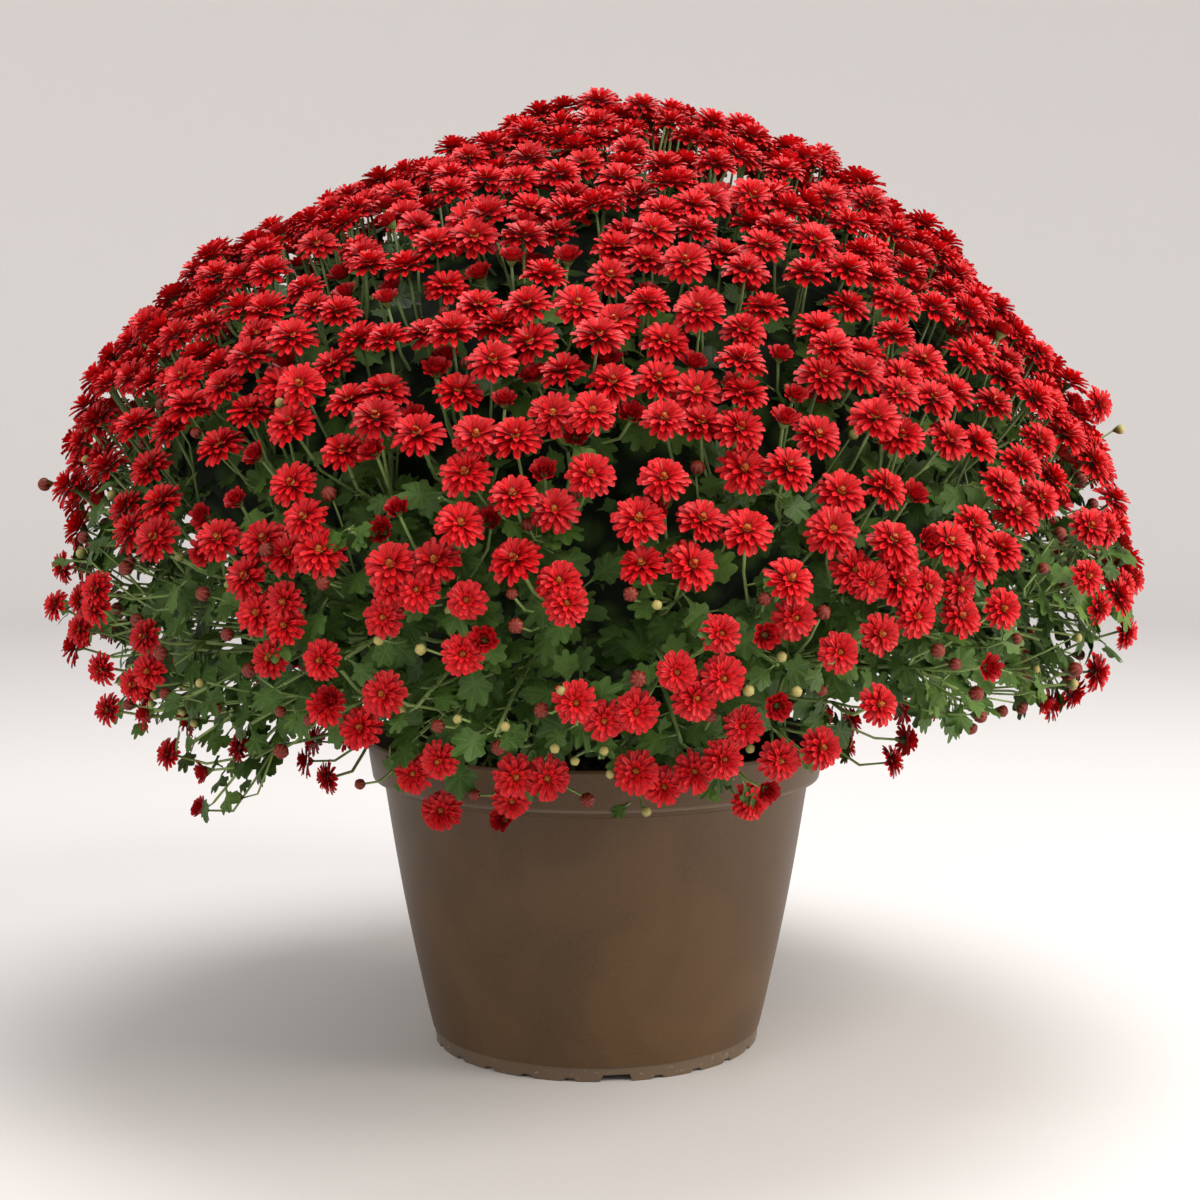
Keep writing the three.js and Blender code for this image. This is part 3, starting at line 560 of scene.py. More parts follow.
@dataclass(frozen=True)
class PotPlasticFinish:
    """Recycled polypropylene, injection moulded: matt taupe with faint flow clouds, grit, pale scuffs, a worn
    foot and a painted highlight along the rim band's lower edge.
    """

    name: str = "moulded_polypropylene"
    body: str = "#4b3721"
    warm: str = "#553f27"
    pale: str = "#665034"
    # Paler colour of the worn foot, which also paints the highlight along the rim band's lower edge.
    wear_and_lip_highlight: str = "#6a5c4d"
    scuff: str = "#978c7f"
    flow_mm: float = 70
    grit_mm: float = 0.9
    grit_depth_mm: float = 0.12
    rub_mm: float = 5
    # Heights in mm over which the painted highlight along the rim band's lower edge rises and fades.
    lip_highlight_foot_mm: tuple[float, float] = (148.2, 148.8)
    lip_highlight_top_mm: tuple[float, float] = (151, 149.6)
    worn_top_mm: tuple[float, float] = (9, 7)
    rub_top_mm: tuple[float, float] = (8.5, 4)
    roughness: float = 0.45
    gloss: float = 0.3

    def build(self) -> bpy.types.Material:
        """Returns the material."""
        material, tree, shader = blank(self.name, self.roughness, self.gloss)
        where = node(tree, "TexCoord").outputs["Object"]
        height = node(tree, "SeparateXYZ", {0: where}).outputs[2]
        flow, grit, rub = (
            node(tree, "TexNoise", {"Vector": where, "Scale": 1 / (size * MM), "Detail": detail,
                                    "Distortion": bend}).outputs[0]
            for size, detail, bend in ((self.flow_mm, 3.0, 0.8), (self.grit_mm, 2.0, 0.0),
                                       (self.rub_mm, 4.0, 1.5)))
        over_foot, under_top, low_down = (
            node(tree, "MapRange", {"Value": height, "From Min": low * MM, "From Max": high * MM},
                 interpolation_type="SMOOTHSTEP").outputs["Result"]
            for low, high in (self.lip_highlight_foot_mm, self.lip_highlight_top_mm, self.rub_top_mm))
        # The band of painted highlight along the rim band's lower edge.
        lip = node(tree, "Math", {0: over_foot, 1: under_top}, operation="MULTIPLY").outputs[0]
        rubbed = node(tree, "MapRange", {"Value": rub, "From Min": 0.6, "From Max": 0.68, "To Max": 0.55},
                      interpolation_type="SMOOTHSTEP").outputs["Result"]
        marks = node(tree, "Math", {0: rubbed, 1: low_down}, operation="MULTIPLY").outputs[0]
        worn_low, worn_high = self.worn_top_mm
        cover(tree, shader, self.body, (
            Tone(flow, 0.35, 0.65, self.warm),
            Tone(grit, 0.4, 0.75, self.pale, end=0.3),
            Tone(height, worn_low * MM, worn_high * MM, self.wear_and_lip_highlight, end=0.6),
            # painted highlight along the rim band's lower edge
            Tone(lip, 0.0, 1.0, self.wear_and_lip_highlight, end=0.7, blend="LINEAR"),
            Tone(marks, 0.0, 1.0, self.scuff, blend="LINEAR"),
        ), grit, 0.25, self.grit_depth_mm)
        return material


@dataclass(frozen=True)
class PottingMixFinish:
    """Potting mix: damp peat crumbs with pale perlite grains pressed into it."""

    name: str = "peat_potting_mix"
    peat: str = "#1f140d"
    dry: str = "#3d2b1e"
    perlite: str = "#b9b2a6"
    crumb_mm: float = 5
    grain_mm: float = 9
    crumb_depth_mm: float = 1.5
    roughness: float = 0.95

    def build(self) -> bpy.types.Material:
        """Returns the material."""
        material, tree, shader = blank(self.name, self.roughness)
        where = node(tree, "TexCoord").outputs["Object"]
        crumb = node(tree, "TexNoise", {"Vector": where, "Scale": 1 / (self.crumb_mm * MM),
                                        "Detail": 5.0}).outputs[0]
        grains = node(tree, "TexVoronoi", {"Vector": where,
                                           "Scale": 1 / (self.grain_mm * MM)}).outputs["Distance"]
        cover(tree, shader, self.peat, (
            Tone(crumb, 0.35, 0.65, self.dry),
            Tone(grains, 0.2, 0.12, self.perlite),
        ), crumb, depth_mm=self.crumb_depth_mm)
        return material


@dataclass(frozen=True)
class PaintFinish:
    """Matt wall paint on the floor under the object: one even pale colour."""

    name: str
    colour: str
    roughness: float = 0.7

    def build(self) -> bpy.types.Material:
        """Returns the material."""
        material, _, shader = blank(self.name, self.roughness)
        shader.inputs["Base Color"].default_value = linear(self.colour)
        return material


# The camera, the lights and the floor


@dataclass(frozen=True)
class StudioCamera:
    """The camera at the viewing angle of the photograph, whose frame is square."""

    position: tuple[float, float, float] = (0.0022, -1.150, 0.351)
    pitch_down_deg: float = 5.29
    lens_mm: float = 62.5
    sensor_mm: float = 36.0
    image_px: int = 1200
    nearest: float = 0.05

    @property
    def eye(self) -> Vector:
        """Where the camera stands."""
        return Vector(self.position)

    @property
    def focal_px(self) -> float:
        """The focal length in pixels of the photograph."""
        return self.lens_mm / self.sensor_mm * self.image_px

    def turn(self) -> Matrix:
        """Returns the camera's rotation."""
        return Matrix.Rotation(math.radians(90 - self.pitch_down_deg), 3, "X")

    def ray(self, px: float, py: float) -> Vector:
        """Returns the direction in which the camera sees a pixel."""
        focal, half = self.focal_px, self.image_px / 2
        return (self.turn() @ Vector(((px - half) / focal, (half - py) / focal, -1))).normalized()

    def at_depth(self, px: float, py: float, depth: float) -> Vector:
        """Returns the point with a given Y that the camera sees at a pixel."""
        ray = self.ray(px, py)
        return self.eye + ray * ((depth - self.eye.y) / ray.y)

    def row_of(self, point: Vector) -> float:
        """Returns the pixel row in which the camera sees a point."""
        local = self.turn().transposed() @ (point - self.eye)
        return self.image_px / 2 - self.focal_px * local.y / -local.z

    def build(self) -> None:
        """Makes the camera and sets it as the scene's own."""
        data = bpy.data.cameras.new("studio_camera")
        data.lens = self.lens_mm
        data.sensor_width = self.sensor_mm
        data.sensor_height = self.sensor_mm
        data.sensor_fit = "HORIZONTAL"
        data.clip_start = self.nearest
        camera = bpy.data.objects.new("studio_camera", data)
        camera.matrix_world = Matrix.Translation(self.position) @ self.turn().to_4x4()
        bpy.context.collection.objects.link(camera)
        bpy.context.scene.camera = camera


@dataclass(frozen=True)
class SoftBox:
    """One soft area light that looks at the plant."""

    name: str
    place: tuple[float, float, float]
    size: float
    power: float
    colour: str = "#ffffff"
    target: tuple[float, float, float] = (0, 0, 0.3)

    def build(self) -> None:
        """Makes the light."""
        data = bpy.data.lights.new(self.name, "AREA")
        data.shape = "DISK"
        data.size = self.size
        data.energy = self.power
        data.color = linear(self.colour)[:3]
        lamp = bpy.data.objects.new(self.name, data)
        aim = (Vector(self.target) - Vector(self.place)).to_track_quat("-Z", "Y")
        lamp.matrix_world = Matrix.Translation(self.place) @ aim.to_matrix().to_4x4()
        bpy.context.collection.objects.link(lamp)


@dataclass
class Studio:
    """The plain pale floor and the soft light around the object."""

    floor_radius: float = 2.4
    cove_radius: float = 0.9
    wall_height: float = 1.35
    cove_steps: int = 12
    turns: int = 96
    floor: PaintFinish = PaintFinish("pale_floor_paint", "#d5d3d3")
    sky: str = "#ebe8e5"
    sky_strength: float = 0.78
    lights: tuple[SoftBox, ...] = (
        SoftBox("key_softbox", (1.4, -1.2, 1.9), 1.1, 38.0, "#fff8f1"),
        SoftBox("fill_softbox", (-1.6, -1.5, 1.4), 1.3, 15.0, "#fff8f0"),
        SoftBox("side_softbox", (1.7, -0.55, 0.5), 0.7, 16.0, "#fff4e6", (0, 0, 0.1)),
        SoftBox("top_softbox", (0.2, 0.1, 2.2), 1.4, 34.0),
    )

    def build(self) -> None:
        """Makes the floor, the world and the lights."""
        bend = [(self.floor_radius + self.cove_radius * math.sin(a), self.cove_radius * (1 - math.cos(a)))
                for a in (math.pi / 2 * i / self.cove_steps for i in range(self.cove_steps + 1))]
        bm = turned([(0, 0), *bend, (bend[-1][0], self.wall_height)], self.turns)
        bmesh.ops.remove_doubles(bm, verts=list(bm.verts), dist=MM)
        mesh = mesh_from(bm, "floor")
        mesh.materials.append(self.floor.build())
        floor = bpy.data.objects.new("floor", mesh)
        bpy.context.collection.objects.link(floor)
        world = bpy.data.worlds.new("soft_room")
        world.use_nodes = True
        background = world.node_tree.nodes["Background"]
        background.inputs[0].default_value = linear(self.sky)
        background.inputs[1].default_value = self.sky_strength
        scene = bpy.context.scene
        scene.world = world
        scene.view_settings.view_transform = "Standard"
        for light in self.lights:
            light.build()


# The dome


@dataclass
class Dome:
    """The surface that the flowers stand on, from its crown down to the rim of the pot."""

    profile: tuple[tuple[float, float], ...] = (
        (0, 516), (45, 508), (82, 494), (118, 478), (155, 458), (186, 438), (217, 411), (245, 380),
        (264, 350), (277, 315), (284, 275), (281, 240), (268, 212), (240, 186), (198, 172), (160, 158),
        (138, 144))
    lean: float = 0.032
    lean_height: float = 375
    lean_spread: float = 60
    sway: tuple[tuple[float, float], ...] = ((380, 0), (430, -4), (456, 8), (475, 18), (494, 16), (514, 0))
    steps_per_span: int = 24
    search_start: float = 0.7
    search_steps: int = 600
    slope_span: float = 6
    outline: list[tuple[float, float]] = field(default_factory=list)
    totals: list[float] = field(default_factory=list)

    def __post_init__(self) -> None:
        """Samples the profile and its running area."""
        points = [Vector(p) for p in self.profile]
        padded = [2 * points[0] - points[1], *points, 2 * points[-1] - points[-2]]
        for i in range(1, len(padded) - 2):
            for step in range(self.steps_per_span):
                self.outline.append(tuple(self.curve(padded[i - 1:i + 3], step / self.steps_per_span)))
        self.outline.append(tuple(points[-1]))
        self.totals.append(0.0)
        for (r0, z0), (r1, z1) in zip(self.outline, self.outline[1:]):
            self.totals.append(self.totals[-1] + (r0 + r1) / 2 * math.hypot(r1 - r0, z1 - z0))

    @staticmethod
    def curve(span: Sequence[Vector], share: float) -> Vector:
        """Returns a point of a uniform Catmull-Rom span."""
        a, b, c, d = span
        return 0.5 * (2 * b + (c - a) * share + (2 * a - 5 * b + 4 * c - d) * share ** 2
                      + (3 * b - a - 3 * c + d) * share ** 3)

    def radius(self, height: float, azimuth: float) -> float:
        """Returns the reach at a height in mm, towards an azimuth, in mm."""
        rows = self.outline
        if height >= rows[0][1]:
            return 0.0
        low, high = 0, len(rows) - 1
        while high - low > 1:
            middle = (low + high) // 2
            if rows[middle][1] > height:
                low = middle
            else:
                high = middle
        (r0, z0), (r1, z1) = rows[low], rows[high]
        reach = lerp(r0, r1, min(1.0, max(0.0, (z0 - height) / (z0 - z1))))
        return reach * self.leaning(height, azimuth)

    def swayed(self, height: float) -> float:
        """Returns how far the crown lies to the right at a height, both in mm."""
        for (low, start), (high, end) in zip(self.sway, self.sway[1:]):
            if low <= height < high:
                return lerp(start, end, (height - low) / (high - low))
        return 0.0

    def leaning(self, height: float, azimuth: float) -> float:
        """Returns how the plant's slight lean scales the reach."""
        offset = (height - self.lean_height) / self.lean_spread
        return 1 - self.lean * math.exp(-offset ** 2) * math.cos(azimuth)

    def at(self, place: float, azimuth: float) -> tuple[Vector, Vector]:
        """Finds a point of the dome.

        Args:
            place: position along the sampled profile.
            azimuth: direction around the pot's axis.

        Returns:
            The point and the outward normal, in metres.
        """
        index = min(len(self.outline) - 2, int(place))
        (r0, z0), (r1, z1) = self.outline[index], self.outline[index + 1]
        reach, height = lerp(r0, r1, place - index), lerp(z0, z1, place - index)
        reach *= self.leaning(height, azimuth)
        x = reach * math.cos(azimuth) + self.swayed(height)
        point = Vector((x, reach * math.sin(azimuth), height)) * MM
        slope = Vector((z0 - z1, r1 - r0)).normalized()
        return point, Vector((slope.x * math.cos(azimuth), slope.x * math.sin(azimuth), slope.y))

    def place_by_area(self, share: float, foot: float) -> float:
        """Returns the place along the profile below which a share of the area above a height lies."""
        last = next(i for i, (_, z) in enumerate(self.outline) if z <= foot)
        target = share * self.totals[last]
        low = next(i for i in range(last) if self.totals[i + 1] >= target)
        return low + (target - self.totals[low]) / max(1e-9, self.totals[low + 1] - self.totals[low])

    def hit(self, origin: Vector, ray: Vector) -> Vector | None:
        """Follows a ray to the dome.

        Args:
            origin: where the ray starts, in metres.
            ray: its direction.

        Returns:
            The first point on the dome, or None where the ray passes it.
        """
        for step in range(self.search_steps):
            point = origin + ray * (self.search_start + step * MM)
            reach = self.radius(point.z / MM, math.atan2(point.y, point.x)) * MM
            if point.z > self.profile[-1][1] * MM and math.hypot(point.x, point.y) < reach:
                return point
        return None

    def normal_near(self, point: Vector) -> Vector:
        """Returns the outward normal of the dome at the height and azimuth of a point."""
        azimuth = math.atan2(point.y, point.x)
        height = point.z / MM
        below = self.radius(height - self.slope_span, azimuth)
        above = self.radius(height + self.slope_span, azimuth)
        span = 2 * self.slope_span
        return Vector((math.cos(azimuth) * span, math.sin(azimuth) * span, below - above)).normalized()


# Flower heads


@dataclass(frozen=True)
class PetalLayer:
    """One whorl of petals, in mm and degrees."""

    count: int
    length: float
    width: float
    foot_radius: float
    foot_height: float
    lift: float
    curl: float
    rows: int = 3


@dataclass
class FlowerHead:
    """The shapes of a flower head, from the closed bud to the full double flower, in mm and degrees."""

    seed: int = 7
    open_variants: int = 6
    half_variants: int = 2
    open_layers: tuple[PetalLayer, ...] = (
        PetalLayer(17, 9.8, 3.5, 2.0, 0.2, 7, -26),
        PetalLayer(15, 9.0, 3.4, 1.9, 1.4, 22, -26, 2),
        PetalLayer(12, 7.8, 3.1, 1.7, 2.5, 38, -24, 2),
        PetalLayer(8, 5.9, 2.7, 1.3, 3.4, 56, -8, 2),
    )
    half_layers: tuple[PetalLayer, ...] = (
        PetalLayer(11, 6.4, 3.4, 1.6, 0.0, 44, -6),
        PetalLayer(8, 5.2, 2.9, 1.3, 0.9, 62, 6, 2),
        PetalLayer(5, 4.2, 2.4, 0.8, 1.5, 76, 10, 2),
    )
    turn_spread: float = 0.16
    length_range: tuple[float, float] = (0.9, 1.07)
    width_range: tuple[float, float] = (0.88, 1.08)
    lift_spread: float = 7
    curl_spread: float = 6
    lean_spread: float = 0.12
    row_bunching: float = 0.85
    bend_steps: int = 6
    widths: tuple[float, ...] = (0.42, 0.84, 1.0, 0.76)
    cup: float = 0.5
    tip_round: float = 0.1
    tip_notch: float = 0.02
    disc_sides: int = 9
    disc_radius: float = 1.9
    disc_top: float = 0.5
    disc_middle: float = 3.9
    disc_depth: float = 2.2
    disc_rough: tuple[float, float] = (-0.4, 0.5)
    calyx_sides: int = 7
    calyx_radii: tuple[float, float] = (0.8, 3.0)
    calyx_depth: float = 3.4
    calyx_overlap: float = 0.6
    bud_sides: int = 10
    bud_rings: int = 6
    bud_radius: float = 3.6
    bud_fold: float = 0.09
    bud_squash: float = 0.86
    bud_lift: float = 2.0
    meshes: dict[Stage, list[bpy.types.Mesh]] = field(default_factory=dict)

    def build(self) -> None:
        """Makes the prototypes of every stage."""
        rng = random.Random(self.seed)
        self.meshes[Stage.OPEN] = [self.head(self.open_layers, rng, True) for _ in range(self.open_variants)]
        self.meshes[Stage.HALF_OPEN] = [self.head(self.half_layers, rng, False)
                                        for _ in range(self.half_variants)]
        self.meshes[Stage.RED_BUD] = [self.bud(HeadSkin.RED_BUD)]
        self.meshes[Stage.GREEN_BUD] = [self.bud(HeadSkin.GREEN_BUD)]

    def head(self, layers: Sequence[PetalLayer], rng: random.Random, with_disc: bool) -> bpy.types.Mesh:
        """Makes one head with its petals, eye and calyx.

        Args:
            layers: its whorls from the outside in.
            rng: the source of its small irregularities.
            with_disc: whether the eye shows.

        Returns:
            The mesh, facing +Z with the lowest whorl at the origin.
        """
        bm = bmesh.new()
        uv = bm.loops.layers.uv.new("UVMap")
        for layer in layers:
            offset = rng.uniform(0, math.tau)
            for k in range(layer.count):
                place = k + rng.uniform(-self.turn_spread, self.turn_spread)
                turn = offset + place * math.tau / layer.count
                self.petal(bm, layer, turn, rng)
        if with_disc:
            self.disc(bm, uv, rng)
        self.calyx(bm)
        return mesh_from(bm, "flower_head")

    def petal(self, bm: bmesh.types.BMesh, layer: PetalLayer, turn: float, rng: random.Random) -> None:
        """Adds one petal: a small sheet that narrows to its foot, cups along its middle and bends back."""
        made = bmesh.ops.create_grid(bm, x_segments=2, y_segments=layer.rows, size=0.5, calc_uvs=True)
        length = layer.length * rng.uniform(*self.length_range)
        width = layer.width * rng.uniform(*self.width_range)
        lift = layer.lift + rng.uniform(-self.lift_spread, self.lift_spread)
        curl = layer.curl + rng.uniform(-self.curl_spread, self.curl_spread)
        side_lean = rng.uniform(-self.lean_spread, self.lean_spread)
        rows = [self.row(i / layer.rows, length, lift, curl) for i in range(layer.rows + 1)]
        sine, cosine = math.sin(turn), math.cos(turn)
        for vertex in made["verts"]:
            across = vertex.co.x * 2
            index = round((vertex.co.y + 0.5) * layer.rows)
            out, up, share, slope = rows[index]
            half = width / 2 * self.width_at(share)
            if index == layer.rows:
                out -= self.tip_round * length * abs(across) * math.cos(slope)
                up -= self.tip_round * length * abs(across) * math.sin(slope)
                out -= self.tip_notch * length * (across == 0)
            rise = self.cup * abs(across) * half
            out -= rise * math.sin(slope)
            up += rise * math.cos(slope)
            radial = layer.foot_radius + out
            sideways = across * half + side_lean * out
            vertex.co = Vector((radial * cosine - sideways * sine, radial * sine + sideways * cosine,
                                layer.foot_height + up)) * MM

    def width_at(self, share: float) -> float:
        """Returns the relative width of a petal at a share of its length."""
        scaled = share * (len(self.widths) - 1)
        index = min(len(self.widths) - 2, int(scaled))
        return lerp(self.widths[index], self.widths[index + 1], scaled - index)

    def row(self, place: float, length: float, lift: float, curl: float) -> tuple[float, float, float, float]:
        """Returns how far out and up a row of a petal lies, its share of the length and its slope."""
        share = place ** self.row_bunching
        out = up = 0.0
        for step in range(self.bend_steps):
            angle = math.radians(lift + curl * share * (step + 0.5) / self.bend_steps)
            out += math.cos(angle) * length * share / self.bend_steps
            up += math.sin(angle) * length * share / self.bend_steps
        return out, up, share, math.radians(lift + curl * share)

    def disc(self, bm: bmesh.types.BMesh, uv: Any, rng: random.Random) -> None:
        """Adds the eye: a low rough button in the middle, with its shut florets mapped highest."""
        middle = self.disc_middle * MM
        made = bmesh.ops.create_cone(bm, cap_ends=True, segments=self.disc_sides,
                                     radius1=self.disc_radius * MM,
                                     radius2=self.disc_radius * self.disc_top * MM,
                                     depth=self.disc_depth * MM, matrix=Matrix.Translation((0, 0, middle)))
        faces = {face for vertex in made["verts"] for face in vertex.link_faces}
        bottom = [face for face in faces if len(face.verts) > 4 and face.calc_center_median().z < middle]
        bmesh.ops.delete(bm, geom=bottom, context="FACES_ONLY")
        for vertex in made["verts"]:
            vertex.co.z += rng.uniform(*self.disc_rough) * MM
        for face in faces - set(bottom):
            face.material_index = HeadSkin.DISC
            start, fall = (1, 0.85) if len(face.verts) > 4 else (0.45, 0.4)
            for loop in face.loops:
                reach = math.hypot(loop.vert.co.x, loop.vert.co.y) / (self.disc_radius * MM)
                loop[uv].uv = (0.5, start - fall * reach)

    def calyx(self, bm: bmesh.types.BMesh) -> None:
        """Adds the green cup under the petals."""
        lift = Matrix.Translation((0, 0, -self.calyx_depth / 2 * MM + self.calyx_overlap * MM))
        low, high = self.calyx_radii
        made = bmesh.ops.create_cone(bm, cap_ends=False, segments=self.calyx_sides, radius1=low * MM,
                                     radius2=high * MM, depth=self.calyx_depth * MM, matrix=lift)
        for face in {face for vertex in made["verts"] for face in vertex.link_faces}:
            face.material_index = HeadSkin.GREEN

    def bud(self, skin: HeadSkin) -> bpy.types.Mesh:
        """Makes a closed bud: a slightly flattened, folded ball in a small green cup."""
        bm = bmesh.new()
        bm.loops.layers.uv.new("UVMap")
        made = bmesh.ops.create_uvsphere(bm, u_segments=self.bud_sides, v_segments=self.bud_rings,
                                         radius=self.bud_radius * MM, calc_uvs=True)
        for vertex in made["verts"]:
            fold = round(math.atan2(vertex.co.y, vertex.co.x) / math.tau * self.bud_sides) % 2
            vertex.co.xy *= 1 - self.bud_fold * fold
            vertex.co.z = vertex.co.z * self.bud_squash + self.bud_lift * MM
        for face in bm.faces:
            face.material_index = skin
        self.calyx(bm)
        return mesh_from(bm, "bud")

    def pick(self, stage: Stage, rng: random.Random) -> bpy.types.Mesh:
        """Returns one of the prototypes of a stage."""
        return rng.choice(self.meshes[stage])


NATURAL_WIDTH = {Stage.OPEN: 23.1, Stage.HALF_OPEN: 13.0, Stage.RED_BUD: 7.2, Stage.GREEN_BUD: 7.2}


@dataclass
class Flower:
    """One placed flower head."""

    point: Vector
    normal: Vector
    size: float
    stage: Stage
    tint: float
    spray: int = -1


@dataclass(frozen=True)
class Seen:
    """A flower head by the pixel at which the photograph shows it, with its width in mm."""

    px: float
    py: float
    width: float = 21
    stage: Stage = Stage.OPEN


OPEN_SEEN = (
    (259, 614), (286, 601), (286, 627), (271, 659), (323, 660), (326, 707), (362, 728), (384, 694),
    (393, 588), (384, 618), (418, 591), (463, 654), (467, 600), (566, 605), (414, 774), (440, 760),
    (442, 811), (515, 776), (547, 778), (512, 799), (575, 702), (604, 720), (637, 711), (636, 772),
    (663, 786), (693, 772), (722, 759), (744, 726), (749, 801), (779, 760), (820, 748), (720, 634),
    (677, 672), (694, 698), (722, 678), (794, 618), (838, 652), (879, 634), (877, 705), (869, 581),
    (898, 557), (924, 587), (915, 616), (957, 589), (960, 617), (1001, 609),
)
SMALL_SEEN = (
    (504, 820), (765, 635), (484, 640), (777, 706), (206, 552), (207, 771), (204, 809), (925, 542),
    (999, 554), (986, 667), (332, 700), (765, 789),
)
SIDE_SEEN = (
    (58, 567), (58, 606), (83, 601), (82, 629), (99, 590), (98, 607), (147, 637), (104, 669), (110, 710),
    (136, 684), (150, 671), (171, 754), (1086, 577), (1097, 607), (1121, 585), (1137, 579), (1123, 632),
    (1096, 405), (1104, 529),
)
RED_BUDS_SEEN = (
    (362, 784), (588, 799), (440, 726), (637, 679), (517, 626), (311, 720), (132, 705), (164, 653),
    (168, 694), (129, 568), (230, 635), (206, 595), (325, 583), (935, 650), (974, 694), (949, 530),
    (1072, 671), (630, 594), (48, 484), (476, 795), (268, 551), (765, 600),
)
GREEN_BUDS_SEEN = (
    (505, 727), (610, 774), (646, 812), (555, 748), (603, 751), (459, 719), (422, 649), (657, 605),
    (240, 797), (1071, 684), (1117, 430), (796, 692), (561, 690), (748, 690), (830, 660), (380, 640),
)
TRAILING_TIPS_SEEN = (
    (150, 715), (186, 748), (214, 802), (246, 778), (270, 748), (292, 724), (128, 692), (112, 655),
    (92, 628), (74, 598), (232, 728), (204, 700), (170, 672), (120, 610), (225, 770), (66, 560),
    (262, 762), (236, 752), (198, 738), (284, 700), (250, 690), (216, 672), (306, 712), (1075, 655),
    (1058, 672), (1022, 676), (998, 668), (950, 676), (916, 670), (1100, 640), (1116, 606), (1040, 640),
    (1085, 610), (1060, 560), (1098, 520), (1090, 560),
)


@dataclass
class FlowerPlan:
    """Decides where each flower head stands. Sizes are in mm, lines in pixels of the photograph."""

    dome: Dome
    camera: StudioCamera
    seed: int = 41
    tries: int = 16000
    spacing: float = 15.5
    base_density: float = 0.2
    density_rises: tuple[tuple[float, float, float], ...] = ((0.25, 150, 235), (0.55, 240, 390))
    search_cell: float = 40
    foot: float = 190
    bunch_gap: float = 46
    bunch_pull: float = 0.34
    bunched_up_to: tuple[float, float] = (210, 400)
    least_gap: float = 14.2
    push_rounds: int = 4
    face_line_px: float = 596
    airy_line_px: float = 430
    airy_band_px: float = 90
    airy_sides: tuple[float, float] = (0.55, 0.85)
    airy_loss: float = 0.6
    side_depth: float = -0.07
    side_spread: float = 25
    top_margin: float = 8
    petal_tint: float = 0.16
    most_tint: float = 0.7
    half_open_tint: float = 0.6
    half_open_share: float = 0.07
    half_open_more_low: tuple[float, float] = (0.05, 300)
    open_width: tuple[float, float] = (21, 25.5)
    half_open_width: tuple[float, float] = (12, 15)
    uneven: tuple[float, float] = (-9, 3)
    crown_sink: float = 3.5
    facing_spread: float = 0.3
    rim_tries: int = 46
    rim_azimuths: tuple[float, float] = (-20, 200)
    rim_heights: tuple[float, float] = (152, 196)
    rim_gap: float = 19
    under_tries: int = 1500
    under_foot: float = 300
    under_gaps: tuple[float, float] = (13.5, 21)
    under_most: int = 120
    bud_tries: int = 1400
    bud_gaps: tuple[float, float] = (12.5, 24)
    bud_most: int = 170
    red_bud_share: float = 0.6
    sprays: kdtree.KDTree | None = None
    spray_of_vertex: list[int] = field(default_factory=list)

    def density(self, height: float) -> float:
        """Returns how thickly flowers stand at a height in mm, as a share of the crown's."""
        share = self.base_density
        for rise, low, high in self.density_rises:
            share += rise * smoothstep(height, low, high)
        return share

    def index_sprays(self) -> None:
        """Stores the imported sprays' vertices, so each head joins the spray whose solid is nearest."""
        points = []
        for spray in range(1, SPRAYS + 1):
            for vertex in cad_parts[f"flower_spray_{spray:02d}"].data.vertices:
                points.append(vertex.co.copy())
                self.spray_of_vertex.append(spray)
        self.sprays = search_tree(points)

    def spray_near(self, point: Vector) -> int:
        """Returns the number of the spray nearest to a point."""
        return self.spray_of_vertex[self.sprays.find(point)[1]]

    def thrown(self, rng: random.Random, foot: float) -> tuple[Vector, Vector]:
        """Returns a random place on the dome above a height in mm, and its normal."""
        azimuth = rng.uniform(-math.pi, math.pi)
        return self.dome.at(self.dome.place_by_area(rng.random(), foot), azimuth)

    def scatter(self, rng: random.Random) -> list[tuple[Vector, Vector]]:
        """Throws places onto the dome and keeps those that lie far enough from the rest."""
        cell = self.search_cell * MM
        grid: dict[tuple[int, int, int], list[Vector]] = {}
        kept = []
        for _ in range(self.tries):
            point, normal = self.thrown(rng, self.foot)
            gap = self.spacing * MM / math.sqrt(self.density(point.z / MM))
            key = tuple(int(math.floor(c / cell)) for c in point)
            near = (q for dx in (-1, 0, 1) for dy in (-1, 0, 1) for dz in (-1, 0, 1)
                    for q in grid.get((key[0] + dx, key[1] + dy, key[2] + dz), ()))
            if stands_clear(point, near, gap):
                grid.setdefault(key, []).append(point)
                kept.append((point, normal))
        return kept

    def gathered(self, places: list[tuple[Vector, Vector]]) -> list[tuple[Vector, Vector]]:
        """Draws low flowers together into loose bunches, as they stand on shared stems."""
        seeds = spread_out((point for point, _ in places), self.bunch_gap * MM)
        drawn = []
        for point, normal in places:
            seed = min(seeds, key=lambda s: (s - point).length_squared)
            pull = self.bunch_pull * (1 - smoothstep(point.z / MM, *self.bunched_up_to))
            drawn.append((point.lerp(seed, pull), normal))
        return self.pushed_apart(drawn)

    def pushed_apart(self, places: list[tuple[Vector, Vector]]) -> list[tuple[Vector, Vector]]:
        """Moves flowers that crowd each other a little apart."""
        least = self.least_gap * MM
        points = [point.copy() for point, _ in places]
        for _ in range(self.push_rounds):
            tree = search_tree(points)
            moves = [Vector() for _ in points]
            for index, point in enumerate(points):
                for other, other_index, distance in tree.find_range(point, least):
                    if other_index != index and distance > 0:
                        moves[index] += (point - other) / distance * (least - distance) * 0.5
            points = [point + move for point, move in zip(points, moves)]
        return [(point, normal) for point, (_, normal) in zip(points, places)]

    def seen_from_front(self, point: Vector, normal: Vector) -> bool:
        """Tells whether the camera sees this side of the dome."""
        return normal.dot(self.camera.eye - point) > 0

    def tilted(self, normal: Vector, rng: random.Random, up_share: float) -> Vector:
        """Returns the way a head faces, between the dome's normal and straight up."""
        return outward_and_up(rng, normal, 0.8, up_share, 0.26).normalized()

